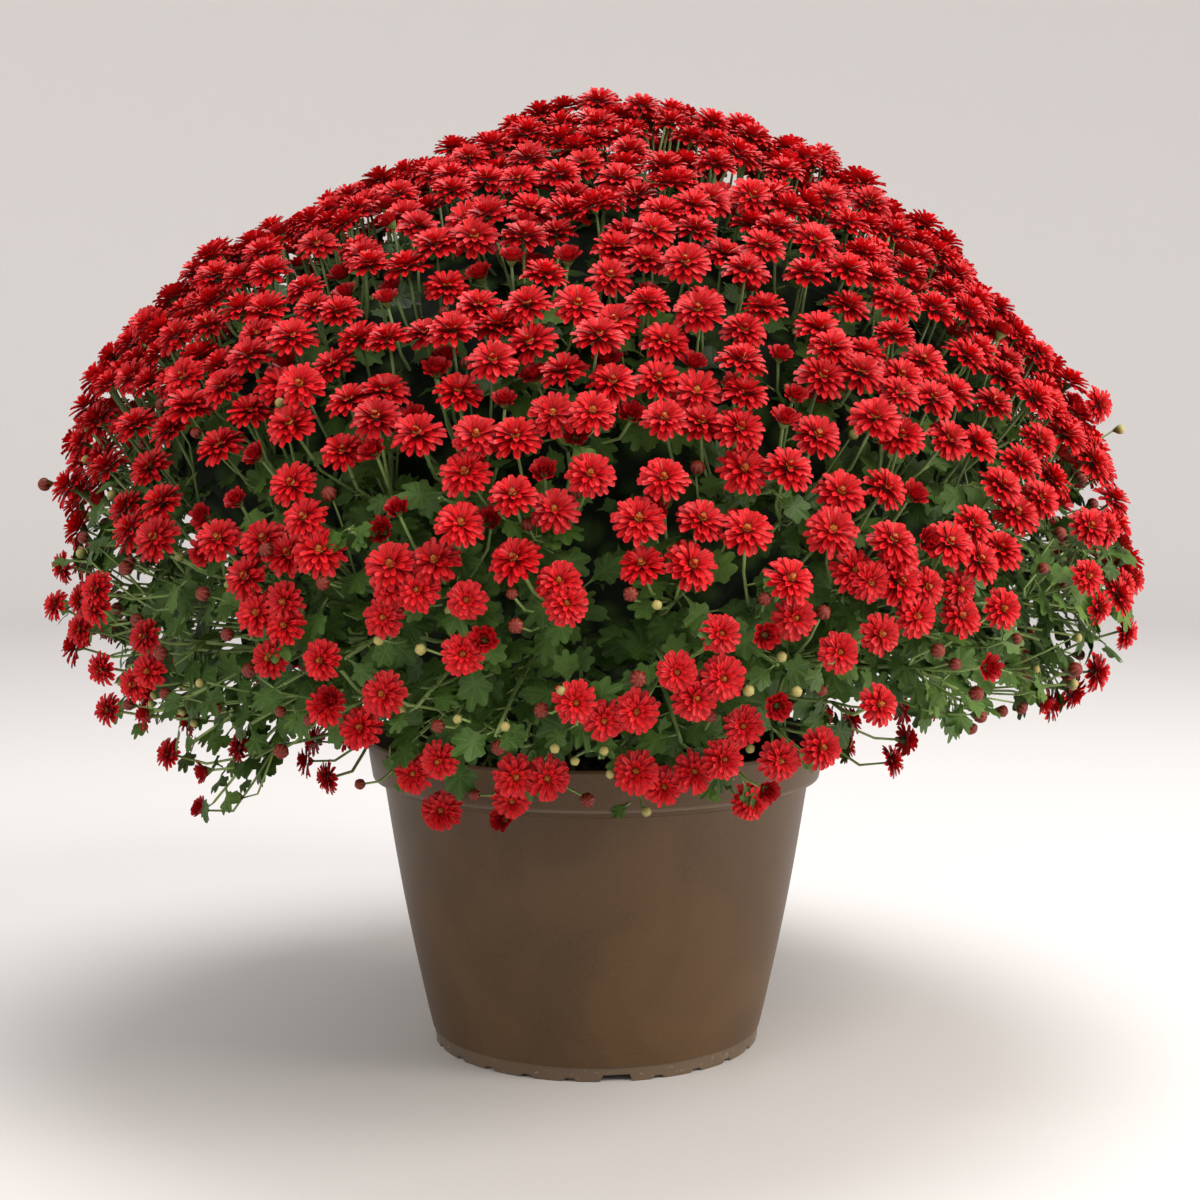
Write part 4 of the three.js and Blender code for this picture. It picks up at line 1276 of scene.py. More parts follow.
    def flower(self, point: Vector, facing: Vector, width: float, stage: Stage, rng: random.Random) -> Flower:
        """Makes one flower record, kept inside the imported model's box."""
        low, high = CAD_BOX
        margin = width / 2 * MM
        kept = Vector((
            min(high.x - margin, max(low.x + margin, point.x)),
            min(high.y - margin, max(low.y + margin, point.y)),
            min(high.z - self.top_margin * MM, point.z),
        ))
        tint = random_tint(rng, self.petal_tint, self.most_tint)
        if stage is Stage.HALF_OPEN:
            tint = self.half_open_tint
        return Flower(kept, facing, width / NATURAL_WIDTH[stage], stage, tint)

    def build(self) -> list[Flower]:
        """Returns every flower head and bud."""
        rng = random.Random(self.seed)
        self.index_sprays()
        flowers = self.over_the_dome(rng)
        flowers += self.from_photograph(rng)
        flowers += self.over_the_rim(rng)
        flowers += self.half_hidden(flowers, rng)
        flowers += self.scattered_buds(flowers, rng)
        for flower in flowers:
            flower.spray = self.spray_near(flower.point)
        return flowers

    def over_the_dome(self, rng: random.Random) -> list[Flower]:
        """Covers the dome with heads, except where the photograph shows them one by one."""
        placed = []
        for point, normal in self.gathered(self.scatter(rng)):
            row = self.camera.row_of(point)
            if self.seen_from_front(point, normal) and row > self.face_line_px:
                continue
            edge = (smoothstep(abs(normal.x), *self.airy_sides)
                    * smoothstep(row, self.airy_line_px, self.airy_line_px + self.airy_band_px))
            if rng.random() < self.airy_loss * edge:
                continue
            height = point.z / MM
            facing = self.tilted(normal, rng, lerp(0.5, 0.3, smoothstep(height, 380, 460)))
            more, more_below = self.half_open_more_low
            half_open = rng.random() < self.half_open_share + more * (height < more_below)
            stage = Stage.HALF_OPEN if half_open else Stage.OPEN
            width = rng.uniform(*(self.half_open_width if half_open else self.open_width))
            sink = self.crown_sink * smoothstep(height, 400, 470)
            moved = point + normal * (rng.uniform(*self.uneven) - sink) * MM
            placed.append(self.flower(moved, facing, width, stage, rng))
        return placed

    def from_photograph(self, rng: random.Random) -> list[Flower]:
        """Places the low front and side heads by the pixels at which the photograph shows them."""
        rows = [Seen(px, py, rng.uniform(18.5, 21.5)) for px, py in OPEN_SEEN]
        rows += [Seen(px, py, 14, Stage.HALF_OPEN) for px, py in SMALL_SEEN]
        rows += [Seen(px, py, rng.uniform(18, 20.5)) for px, py in SIDE_SEEN]
        rows += [Seen(px, py, rng.uniform(5.8, 8.2), Stage.RED_BUD) for px, py in RED_BUDS_SEEN]
        rows += [Seen(px, py, rng.uniform(4.3, 5.8), Stage.GREEN_BUD) for px, py in GREEN_BUDS_SEEN]
        placed = []
        for row in rows:
            point = self.dome.hit(self.camera.eye, self.camera.ray(row.px, row.py))
            if point is None:
                depth = self.side_depth + rng.uniform(-self.side_spread, self.side_spread) * MM
                point = self.camera.at_depth(row.px, row.py, depth)
            normal = self.dome.normal_near(point)
            turned_to_light = level(normal) + UP * 0.16 + Vector((0, -0.3, 0))
            facing = turned_to_light + random_direction(rng) * self.facing_spread
            placed.append(self.flower(point, facing.normalized(), row.width, row.stage, rng))
        return placed

    def over_the_rim(self, rng: random.Random) -> list[Flower]:
        """Hangs flowers over the rim around the sides that the photograph doesn't show."""
        placed: list[Flower] = []
        for _ in range(self.rim_tries):
            azimuth = math.radians(rng.uniform(*self.rim_azimuths))
            height = rng.uniform(*self.rim_heights)
            reach = (self.dome.radius(height, azimuth) + rng.uniform(-6, 3)) * MM
            point = Vector((reach * math.cos(azimuth), reach * math.sin(azimuth), height * MM))
            if stands_clear(point, (other.point for other in placed), self.rim_gap * MM):
                outward = Vector((math.cos(azimuth), math.sin(azimuth), 0.12))
                facing = (outward + random_direction(rng) * self.facing_spread).normalized()
                placed.append(self.flower(point, facing, rng.uniform(19, 22), Stage.OPEN, rng))
        return placed

    def half_hidden(self, flowers: list[Flower], rng: random.Random) -> list[Flower]:
        """Adds the younger heads that open in the gaps under the upper flowers."""
        tree = search_tree([flower.point for flower in flowers])
        gap, own_gap = self.under_gaps
        added: list[Flower] = []
        for _ in range(self.under_tries):
            point, normal = self.thrown(rng, self.under_foot)
            point = point - normal * rng.uniform(10, 20) * MM
            if tree.find(point)[2] > gap * MM and stands_clear(point, (a.point for a in added), own_gap * MM):
                facing = self.tilted(normal, rng, 0.3)
                added.append(self.flower(point, facing, rng.uniform(13, 17), Stage.HALF_OPEN, rng))
        return added[:self.under_most]

    def scattered_buds(self, flowers: list[Flower], rng: random.Random) -> list[Flower]:
        """Adds buds between the flowers, thickest low on the plant."""
        tree = search_tree([flower.point for flower in flowers])
        gap, own_gap = self.bud_gaps
        buds: list[Flower] = []
        for _ in range(self.bud_tries):
            point, normal = self.thrown(rng, self.foot)
            low_share = 1 - smoothstep(point.z / MM, 230, 420)
            if rng.random() > lerp(0.12, 1.0, low_share):
                continue
            point = point - normal * rng.uniform(2, 16) * MM
            if tree.find(point)[2] > gap * MM and stands_clear(point, (b.point for b in buds), own_gap * MM):
                red = rng.random() < self.red_bud_share
                stage = Stage.RED_BUD if red else Stage.GREEN_BUD
                width = rng.uniform(5.4, 7.9) if red else rng.uniform(4.0, 5.8)
                buds.append(self.flower(point, self.tilted(normal, rng, 0.4), width, stage, rng))
        return buds[:self.bud_most]


# Stems and leaves


@dataclass
class Stalks:
    """Bends a straight prototype along a curve for each stem."""

    sides: int = 4
    spans: int = 3
    straight: bpy.types.Mesh | None = None

    def build(self) -> None:
        """Makes the straight prototype, one unit long, along +Z."""
        bm = bmesh.new()
        bm.loops.layers.uv.new("UVMap")
        bmesh.ops.create_cone(bm, cap_ends=True, segments=self.sides, radius1=1, radius2=1, depth=1,
                              matrix=Matrix.Translation((0, 0, 0.5)))
        for cut in range(1, self.spans):
            bmesh.ops.bisect_plane(bm, geom=[*bm.verts, *bm.edges, *bm.faces],
                                   plane_co=(0, 0, cut / self.spans), plane_no=(0, 0, 1))
        for face in bm.faces:
            face.material_index = BranchSkin.STEM
        self.straight = mesh_from(bm, "straight_stalk")

    def add(self, bm: bmesh.types.BMesh, curve: Sequence[Vector], start: float, end: float,
            tint: float) -> None:
        """Adds one stem.

        Args:
            bm: the bmesh that it joins.
            curve: the four control points of its Bezier curve.
            start: its radius at the first point.
            end: its radius at the last.
            tint: its shade, from old to fresh.
        """
        copy = self.straight.copy()
        side = (curve[3] - curve[0]).orthogonal().normalized()
        for vertex in copy.vertices:
            share = vertex.co.z
            centre, heading = bezier(curve, share)
            across = side - heading * side.dot(heading)
            across.normalize()
            other = heading.cross(across)
            radius = lerp(start, end, share)
            vertex.co = centre + (across * vertex.co.x + other * vertex.co.y) * radius
        set_tint(copy, tint)
        bm.from_mesh(copy)
        bpy.data.meshes.remove(copy)


def bezier(curve: Sequence[Vector], share: float) -> tuple[Vector, Vector]:
    """Returns a point of a cubic Bezier curve and the unit tangent there."""
    a, b, c, d = curve
    rest = 1 - share
    point = a * rest ** 3 + b * (3 * rest * rest * share) + c * (3 * rest * share * share) + d * share ** 3
    tangent = (b - a) * rest * rest + (c - b) * (2 * rest * share) + (d - c) * share * share
    return point, tangent.normalized()


@dataclass
class Leaves:
    """Lobed leaf blades, one unit long from the stalk's end at the origin to the tip on +Y."""

    seed: int = 19
    variants: int = 6
    segments: int = 35
    plain_segments: int = 20
    lobes: tuple[tuple[float, float, float], ...] = (
        (0.0, 0.5, 0.37), (0.8, 0.46, 0.35), (1.56, 0.39, 0.34), (math.pi, 0.4, 0.24))
    teeth: int = 10
    tooth_depth: float = 0.016
    cut_range: tuple[float, float] = (0.45, 0.6)
    droop_range: tuple[float, float] = (0.25, 0.7)
    fold_range: tuple[float, float] = (-0.1, 0.3)
    breadth: float = 0.98
    stretch: float = 1.12
    map_size: float = 0.85
    waves: int = 2
    wave_pitch: tuple[float, float] = (4, 8)
    wave_start: tuple[float, float] = (0, 6)
    wave_height: float = 0.022
    bow_along: float = 0.55
    bow_across: float = 0.5
    droop_shortening: float = 0.12
    meshes: list[bpy.types.Mesh] = field(default_factory=list)
    plain: list[bpy.types.Mesh] = field(default_factory=list)

    def build(self) -> None:
        """Makes the prototypes."""
        rng = random.Random(self.seed)
        for _ in range(self.variants):
            cut, droop, fold = (rng.uniform(*span)
                                for span in (self.cut_range, self.droop_range, self.fold_range))
            self.meshes.append(self.blade(self.segments, cut, droop, fold, rng))
            self.plain.append(self.blade(self.plain_segments, cut, droop, fold, rng))

    def outline(self, angle: float, cut: float) -> float:
        """Returns the blade's reach from its middle at an angle from the tip."""
        body = 0.5 * (1 - cut)
        reach = body
        for place, length, width in self.lobes:
            gap = abs(abs(angle) - place) / width
            reach = max(reach, body + (length - body) * math.exp(-gap ** 4))
        return reach + self.tooth_depth * math.cos(self.teeth * angle)

    def blade(self, segments: int, cut: float, droop: float, fold: float,
              rng: random.Random) -> bpy.types.Mesh:
        """Makes one blade.

        Args:
            segments: how many points its rim has.
            cut: how deeply it is cut between its lobes.
            droop: how far it bows down towards its tip.
            fold: how far its halves are raised along the midrib.
            rng: the source of its waves.

        Returns:
            The blade's mesh.
        """
        bm = bmesh.new()
        uv = bm.loops.layers.uv.new("UVMap")
        bmesh.ops.create_circle(bm, cap_ends=True, segments=segments, radius=1)
        for vertex in bm.verts:
            angle = math.atan2(vertex.co.x, vertex.co.y)
            reach = self.outline(angle, cut)
            vertex.co = Vector((math.sin(angle) * reach * self.breadth,
                                math.cos(angle) * reach * self.stretch, 0))
        bmesh.ops.poke(bm, faces=list(bm.faces))
        root = self.outline(math.pi, cut)
        for face in bm.faces:
            for loop in face.loops:
                loop[uv].uv = (0.5 + loop.vert.co.x * self.map_size, 0.5 + loop.vert.co.y * self.map_size)
        waves = [[rng.uniform(*span) for span in (self.wave_pitch, self.wave_pitch, self.wave_start)]
                 for _ in range(self.waves)]
        for vertex in bm.verts:
            x, y = vertex.co.x, vertex.co.y + root
            ripple = sum(math.sin(x * a + y * b + c) for a, b, c in waves) * self.wave_height
            z = abs(x) * fold - droop * y * y * self.bow_along - self.bow_across * x * x + ripple
            vertex.co = Vector((x, y * (1 - self.droop_shortening * droop), z))
        if sum(f.normal.z for f in bm.faces) < 0:
            bmesh.ops.reverse_faces(bm, faces=list(bm.faces))
        return mesh_from(bm, "leaf_blade")


@dataclass
class Foliage:
    """The green of the plant: inner leaf mass, stems, flower stalks, leaves and trailing shoots, in mm."""

    dome: Dome
    stalks: Stalks
    petioles: Stalks
    leaves: Leaves
    seed: int = 73
    core_top: float = 0.87
    core_bottom: float = 0.54
    core_floor: float = 177
    core_focus: float = 225
    core_detail: int = 4
    crag_depth: float = 0.07
    lump_depth: float = 0.06
    least_height: float = 150
    stem_path: tuple[tuple[float, float], ...] = ((27, 124), (27, 150), (45, 180), (80, 215))
    stem_radii: tuple[float, float] = (3.4, 2.6)
    stem_tint: float = 0.1
    joint_spacing: float = 38
    joint_depth: float = 42
    joint_depth_range: tuple[float, float] = (0.75, 1.25)
    joint_drop: float = 0.75
    joint_sag: float = 6
    joint_stem_radii: tuple[float, float] = (1.0, 1.7)
    flower_depth: float = 2.2
    stalk_radius: float = 0.85
    bud_stalk_radius: float = 0.55
    stalk_foot_radius: float = 0.9
    bare_below: float = 240
    one_leaf_share: float = 0.7
    stalk_leaf: tuple[float, float] = (11, 18)
    petiole_share: float = 0.28
    petiole_radii: tuple[float, float] = (0.6, 0.45)
    rim_line: float = 190
    rim_leaf: tuple[float, float] = (9, 14)
    joint_leaf: tuple[float, float] = (13, 21)
    joint_leaf_more_low: float = 1.5
    joint_reach: tuple[float, float] = (-8, 24)
    deep_leaves: int = 1300
    deep_leaf: tuple[float, float] = (15, 24)
    shoots: int = 112
    shoot_foot: float = 105
    shoot_foot_heights: tuple[float, float] = (190, 262)
    shoot_top: float = 318
    shoot_least_reach: float = 145
    shoot_radii: tuple[float, float] = (1.5, 0.8)
    shoot_leaf: tuple[float, float] = (13, 21.5)
    shoot_leaf_pitch: float = 15
    tip_leaf_share: float = 0.8
    trail_foot: float = 110
    trail_foot_heights: tuple[float, float] = (205, 235)
    trail_depths: tuple[float, float] = (-85, -15)
    trail_light: tuple[float, float, float] = (0, -0.9, 0)
    trail_tint: float = 0.62
    bms: list[bmesh.types.BMesh] = field(default_factory=list)
    leaf_total: int = 0

    def __post_init__(self) -> None:
        """Starts one bmesh for each wedge of the plant."""
        self.rng = random.Random(self.seed)
        self.focus = Vector((0, 0, self.core_focus * MM))
        for _ in range(BRANCHES):
            bm = bmesh.new()
            bm.loops.layers.uv.new("UVMap")
            bm.verts.layers.float.new("tint")
            self.bms.append(bm)

    def wedge(self, point: Vector) -> bmesh.types.BMesh:
        """Returns the bmesh of the wedge that a point lies in."""
        turn = math.atan2(point.y, point.x) % math.tau
        return self.bms[int(turn / math.tau * BRANCHES) % BRANCHES]

    def inside_dome(self, point: Vector) -> bool:
        """Tells whether a point lies under the flowers and over the soil."""
        reach = self.dome.radius(point.z / MM, math.atan2(point.y, point.x)) * MM
        return math.hypot(point.x, point.y) < reach and point.z > self.least_height * MM

    def reach(self, direction: Vector, low: float = 0.05, high: float = 0.4) -> float:
        """Returns how far the dome lies from the focus along a direction, in metres."""
        for _ in range(16):
            middle = (low + high) / 2
            low, high = (middle, high) if self.inside_dome(self.focus + direction * middle) else (low, middle)
        return low

    def core_point(self, direction: Vector) -> Vector:
        """Returns the surface of the inner leaf mass in a direction from the focus."""
        x, y, z = direction
        share = lerp(self.core_bottom, self.core_top, smoothstep(z, -0.1, 0.6))
        craggy = 1 + self.crag_depth * math.sin(7 * x + 3 * z) * math.sin(6 * y - 4 * z)
        rough = 1 + self.lump_depth * noise.noise(direction * 9)
        point = self.focus + direction * self.reach(direction) * share * craggy * rough
        point.z = max(self.core_floor * MM, point.z)
        return point

    def add_core(self) -> None:
        """Adds the inner leaf mass, cut into the eight wedges."""
        whole = bmesh.new()
        whole.loops.layers.uv.new("UVMap")
        bmesh.ops.create_icosphere(whole, subdivisions=self.core_detail, radius=1)
        for vertex in whole.verts:
            vertex.co = self.core_point(vertex.co.normalized())
        shape = mesh_from(whole, "inner_leaf_mass")
        for index, branch in enumerate(self.bms):
            part = bmesh.new()
            part.from_mesh(shape)
            for angle, side in ((index * math.tau / BRANCHES, -1), ((index + 1) * math.tau / BRANCHES, 1)):
                plane = Vector((-math.sin(angle), math.cos(angle), 0)) * side
                bmesh.ops.bisect_plane(part, geom=[*part.verts, *part.edges, *part.faces], dist=1e-6,
                                       plane_co=(0, 0, 0), plane_no=plane, clear_outer=True)
                rim = [edge for edge in part.edges if edge.is_boundary]
                bmesh.ops.holes_fill(part, edges=rim, sides=0)
            for face in part.faces:
                face.material_index = BranchSkin.INNER
            mesh = mesh_from(part, "inner_wedge")
            set_tint(mesh, 0.0)
            branch.from_mesh(mesh)
            bpy.data.meshes.remove(mesh)

    def add_stem(self, branch: bmesh.types.BMesh, curve: Sequence[Vector], radii: tuple[float, float],
                 tint: float) -> None:
        """Adds one stem with its radii in mm at the curve's first and last point."""
        self.stalks.add(branch, curve, radii[0] * MM, radii[1] * MM, tint)

    def add_main_stems(self) -> None:
        """Adds the stems that stand in the soil and rise into the leaf mass."""
        for index, branch in enumerate(self.bms):
            outward = towards((index + 0.5) * math.tau / BRANCHES)
            curve = [off_axis(outward, reach, height) for reach, height in self.stem_path]
            self.add_stem(branch, curve, self.stem_radii, self.stem_tint)

    def add_joint(self, seed: Vector) -> Vector:
        """Adds the stem that runs inwards from a joint of flower stalks.

        Args:
            seed: the flower around which the joint's flowers stand.

        Returns:
            The joint.
        """
        inward = (self.focus - seed).normalized()
        depth = self.joint_depth * self.rng.uniform(*self.joint_depth_range) * MM
        drop = self.joint_drop * smoothstep(seed.z / MM, 200, 420)
        joint = seed + inward * depth * (1 - 0.35 * drop) - UP * depth * drop
        inner = self.core_point((joint - self.focus).normalized()).lerp(self.focus, 0.12)
        bend = joint.lerp(inner, 0.5) - UP * self.joint_sag * MM
        self.add_stem(self.wedge(joint), (joint, joint.lerp(bend, 0.6), bend, inner), self.joint_stem_radii,
                      self.rng.uniform(0.25, 0.6))
        return joint

    def hang_flowers(self, flowers: list[Flower]) -> list[Vector]:
        """Gives every flower head its stalk, gathered in joints from which one stem runs inwards.

        Args:
            flowers: all heads and buds.

        Returns:
            The joints.
        """
        seeds = spread_out((flower.point for flower in flowers), self.joint_spacing * MM)
        joints = [self.add_joint(seed) for seed in seeds]
        for flower in flowers:
            index = min(range(len(seeds)), key=lambda i: (seeds[i] - flower.point).length_squared)
            joint = joints[index]
            top = flower.point - flower.normal * self.flower_depth * MM
            length = (joint - top).length
            curve = (top, top - flower.normal * length * 0.35 - UP * length * 0.1,
                     joint.lerp(top, 0.35) - UP * length * 0.06, joint)
            bud = flower.stage in (Stage.RED_BUD, Stage.GREEN_BUD)
            low_share = 1 - smoothstep(flower.point.z / MM, 240, 380)
            radius = self.bud_stalk_radius if bud else self.stalk_radius
            self.add_stem(self.wedge(flower.point), curve, (radius, self.stalk_foot_radius),
                          lerp(0.15, 0.55, low_share) + self.rng.uniform(0, 0.4))
            if flower.point.z > self.bare_below * MM and not bud:
                self.add_stalk_leaves(curve, flower.normal)
        return joints

    def add_stalk_leaves(self, curve: Sequence[Vector], normal: Vector) -> None:
        """Sets the small leaves along a flower's stalk."""
        rng = self.rng
        spans = ((0.3, 0.9),) if rng.random() < self.one_leaf_share else ((0.3, 0.5), (0.6, 0.9))
        for share in [rng.uniform(*span) for span in spans]:
            foot, heading = bezier(curve, share)
            along = aside(rng, heading) + normal * rng.uniform(0.1, 0.7)
            facing = outward_and_up(rng, normal, 0.7, 0.4, 0.35)
            tint = random_tint(rng, 0.52)
            self.add_leaf(foot, along, facing, rng.uniform(*self.stalk_leaf) * MM, tint, plain=True)

    def add_leaf(self, foot: Vector, along: Vector, normal: Vector, length: float, tint: float,
                 plain: bool = False, stalked: bool = True) -> None:
        """Adds one leaf.

        Args:
            foot: where its stalk leaves the stem.
            along: the direction of its midrib.
            normal: the direction of its upper face.
            length: the blade's length in metres.
            tint: its shade, from deep to young.
            plain: whether it is a small or shaded leaf with a plainer rim.
            stalked: whether it stands on a stalk of its own.
        """
        bm = self.wedge(foot)
        along = along.normalized()
        start = foot + along * length * (self.petiole_share if stalked else 0.05)
        if stalked:
            thick, thin = self.petiole_radii
            curve = (foot, foot.lerp(start, 0.3), foot.lerp(start, 0.7), start + along * 1 * MM)
            self.petioles.add(bm, curve, thick * MM, thin * MM, 0.5)
        flat = normal - along * normal.dot(along)
        if flat.length < 1e-3:
            flat = along.orthogonal()
        blade = self.rng.choice(self.leaves.plain if plain else self.leaves.meshes)
        add_copy(bm, blade, oriented(start, flat, along, length), tint)
        self.leaf_total += 1

    def add_joint_leaves(self, joints: Sequence[Vector]) -> None:
        """Sets leaves around every joint, which fill the depth between the flowers."""
        rng = self.rng
        near, far = self.joint_reach
        for joint in joints:
            outward = (joint - self.focus).normalized()
            low_share = 1 - smoothstep(joint.z / MM, 230, 360)
            over_rim = joint.z < self.rim_line * MM
            for _ in range(3 if over_rim else 8 if low_share < 0.5 else 7):
                foot = joint + outward * rng.uniform(near, far) * MM + random_direction(rng) * 8 * MM
                along = aside(rng, outward) + outward * rng.uniform(0.0, 0.7) + UP * rng.uniform(-0.3, 0.35)
                normal = outward_and_up(rng, outward, 0.8, 0.5, 0.35)
                depth = smoothstep((foot - joint).dot(outward), near * MM, far * MM)
                tint = random_tint(rng, 0.38 + 0.2 * depth)
                size = rng.uniform(*(self.rim_leaf if over_rim else self.joint_leaf))
                more = 0 if over_rim else self.joint_leaf_more_low * low_share
                self.add_leaf(foot, along, normal, (size + more) * MM, tint)

    def add_deep_leaves(self) -> None:
        """Covers the inner leaf mass with shaded leaves, which show between the flowers."""
        rng = self.rng
        for index in range(self.deep_leaves):
            height = 1 - 1.3 * (index + 0.5) / self.deep_leaves
            azimuth = index * GOLDEN_ANGLE
            ring = math.sqrt(1 - height * height)
            outward = Vector((ring * math.cos(azimuth), ring * math.sin(azimuth), height))
            foot = self.core_point(outward) + outward * rng.uniform(-3, 6) * MM
            along = aside(rng, outward) + UP * rng.uniform(-0.3, 0.2)
            normal = outward_and_up(rng, outward, 0.9, 0.3, 0.45)
            length = rng.uniform(*self.deep_leaf) * MM
            self.add_leaf(foot, along, normal, length, rng.uniform(0.2, 0.6), plain=True, stalked=False)

    def add_shoots(self) -> None:
        """Adds leafy shoots low around the plant, which reach out from the leaf mass."""
        rng = self.rng
        for index in range(self.shoots):
            azimuth = index * GOLDEN_ANGLE + rng.uniform(-0.2, 0.2)
            start_height = rng.uniform(*self.shoot_foot_heights)
            outward = towards(azimuth)
            sideways = smoothstep(abs(outward.x), 0.45, 0.8)
            end_height = lerp(194 + 12 * sideways, self.shoot_top, rng.random() ** 1.15)
            reach = self.dome.radius(end_height, azimuth) - rng.uniform(2, 22)
            self.grow_shoot((
                off_axis(outward, self.shoot_foot, start_height),
                off_axis(outward, lerp(self.shoot_foot, reach, 0.4), (end_height + start_height) / 2 + 16),
                off_axis(outward, lerp(self.shoot_foot, reach, 0.8), end_height + 12),
                off_axis(outward, max(self.shoot_least_reach, reach), end_height),
            ))

    def add_trailing_shoots(self, camera: StudioCamera) -> None:
        """Adds the long airy shoots low at both sides, by the pixels where their tips are seen."""
        rng = self.rng
        for px, py in TRAILING_TIPS_SEEN:
            end = camera.at_depth(px, py, rng.uniform(*self.trail_depths) * MM)
            start = off_axis(level(end), self.trail_foot, rng.uniform(*self.trail_foot_heights))
            middle = start.lerp(end, 0.5) + UP * rng.uniform(8, 22) * MM
            curve = (start, start.lerp(middle, 0.7) + UP * 6 * MM, middle.lerp(end, 0.5) + UP * 8 * MM, end)
            self.grow_shoot(curve, Vector(self.trail_light), self.trail_tint)

    def grow_shoot(self, curve: Sequence[Vector], light: Vector = UP * 0, shade: float = 0.5) -> None:
        """Adds one shoot with its leaves.

        Args:
            curve: the control points of its stem, from the leaf mass to the tip.
            light: the side that its leaves turn to, added to up and outwards.
            shade: the middle tint of its leaves.
        """
        rng = self.rng
        self.add_stem(self.wedge(curve[3]), curve, self.shoot_radii, rng.uniform(0.3, 0.5) + shade - 0.2)
        leaves = max(3, int((curve[3] - curve[0]).length / (self.shoot_leaf_pitch * MM)))
        side = rng.choice((-1, 1))
        for k in range(leaves):
            share = 1.0 - 0.78 * k / leaves + rng.uniform(-0.03, 0.03)
            foot, heading = bezier(curve, min(1.0, share))
            sideways = heading.cross(UP).normalized() * side
            side = -side
            along = (heading * rng.uniform(0.25, 0.9) + sideways * rng.uniform(0.5, 1.0)
                     - UP * rng.uniform(-0.2, 0.55))
            normal = UP * 0.6 + level(foot) * 0.75 + light + random_direction(rng) * 0.4
            size = lerp(*self.shoot_leaf, rng.random()) * (self.tip_leaf_share if k == 0 else 1.0)
            tint = random_tint(rng, shade)
            self.add_leaf(foot, along, normal, size * MM, tint)

    def build(self, flowers: list[Flower], camera: StudioCamera) -> list[bmesh.types.BMesh]:
        """Grows everything and returns one bmesh for each wedge."""
        self.add_core()
        self.add_main_stems()
        joints = self.hang_flowers(flowers)
        self.add_joint_leaves(joints)
        self.add_deep_leaves()
        self.add_shoots()
        self.add_trailing_shoots(camera)
        LOG.info("joints %d, leaves %d", len(joints), self.leaf_total)
        return self.bms


# The pot and the soil


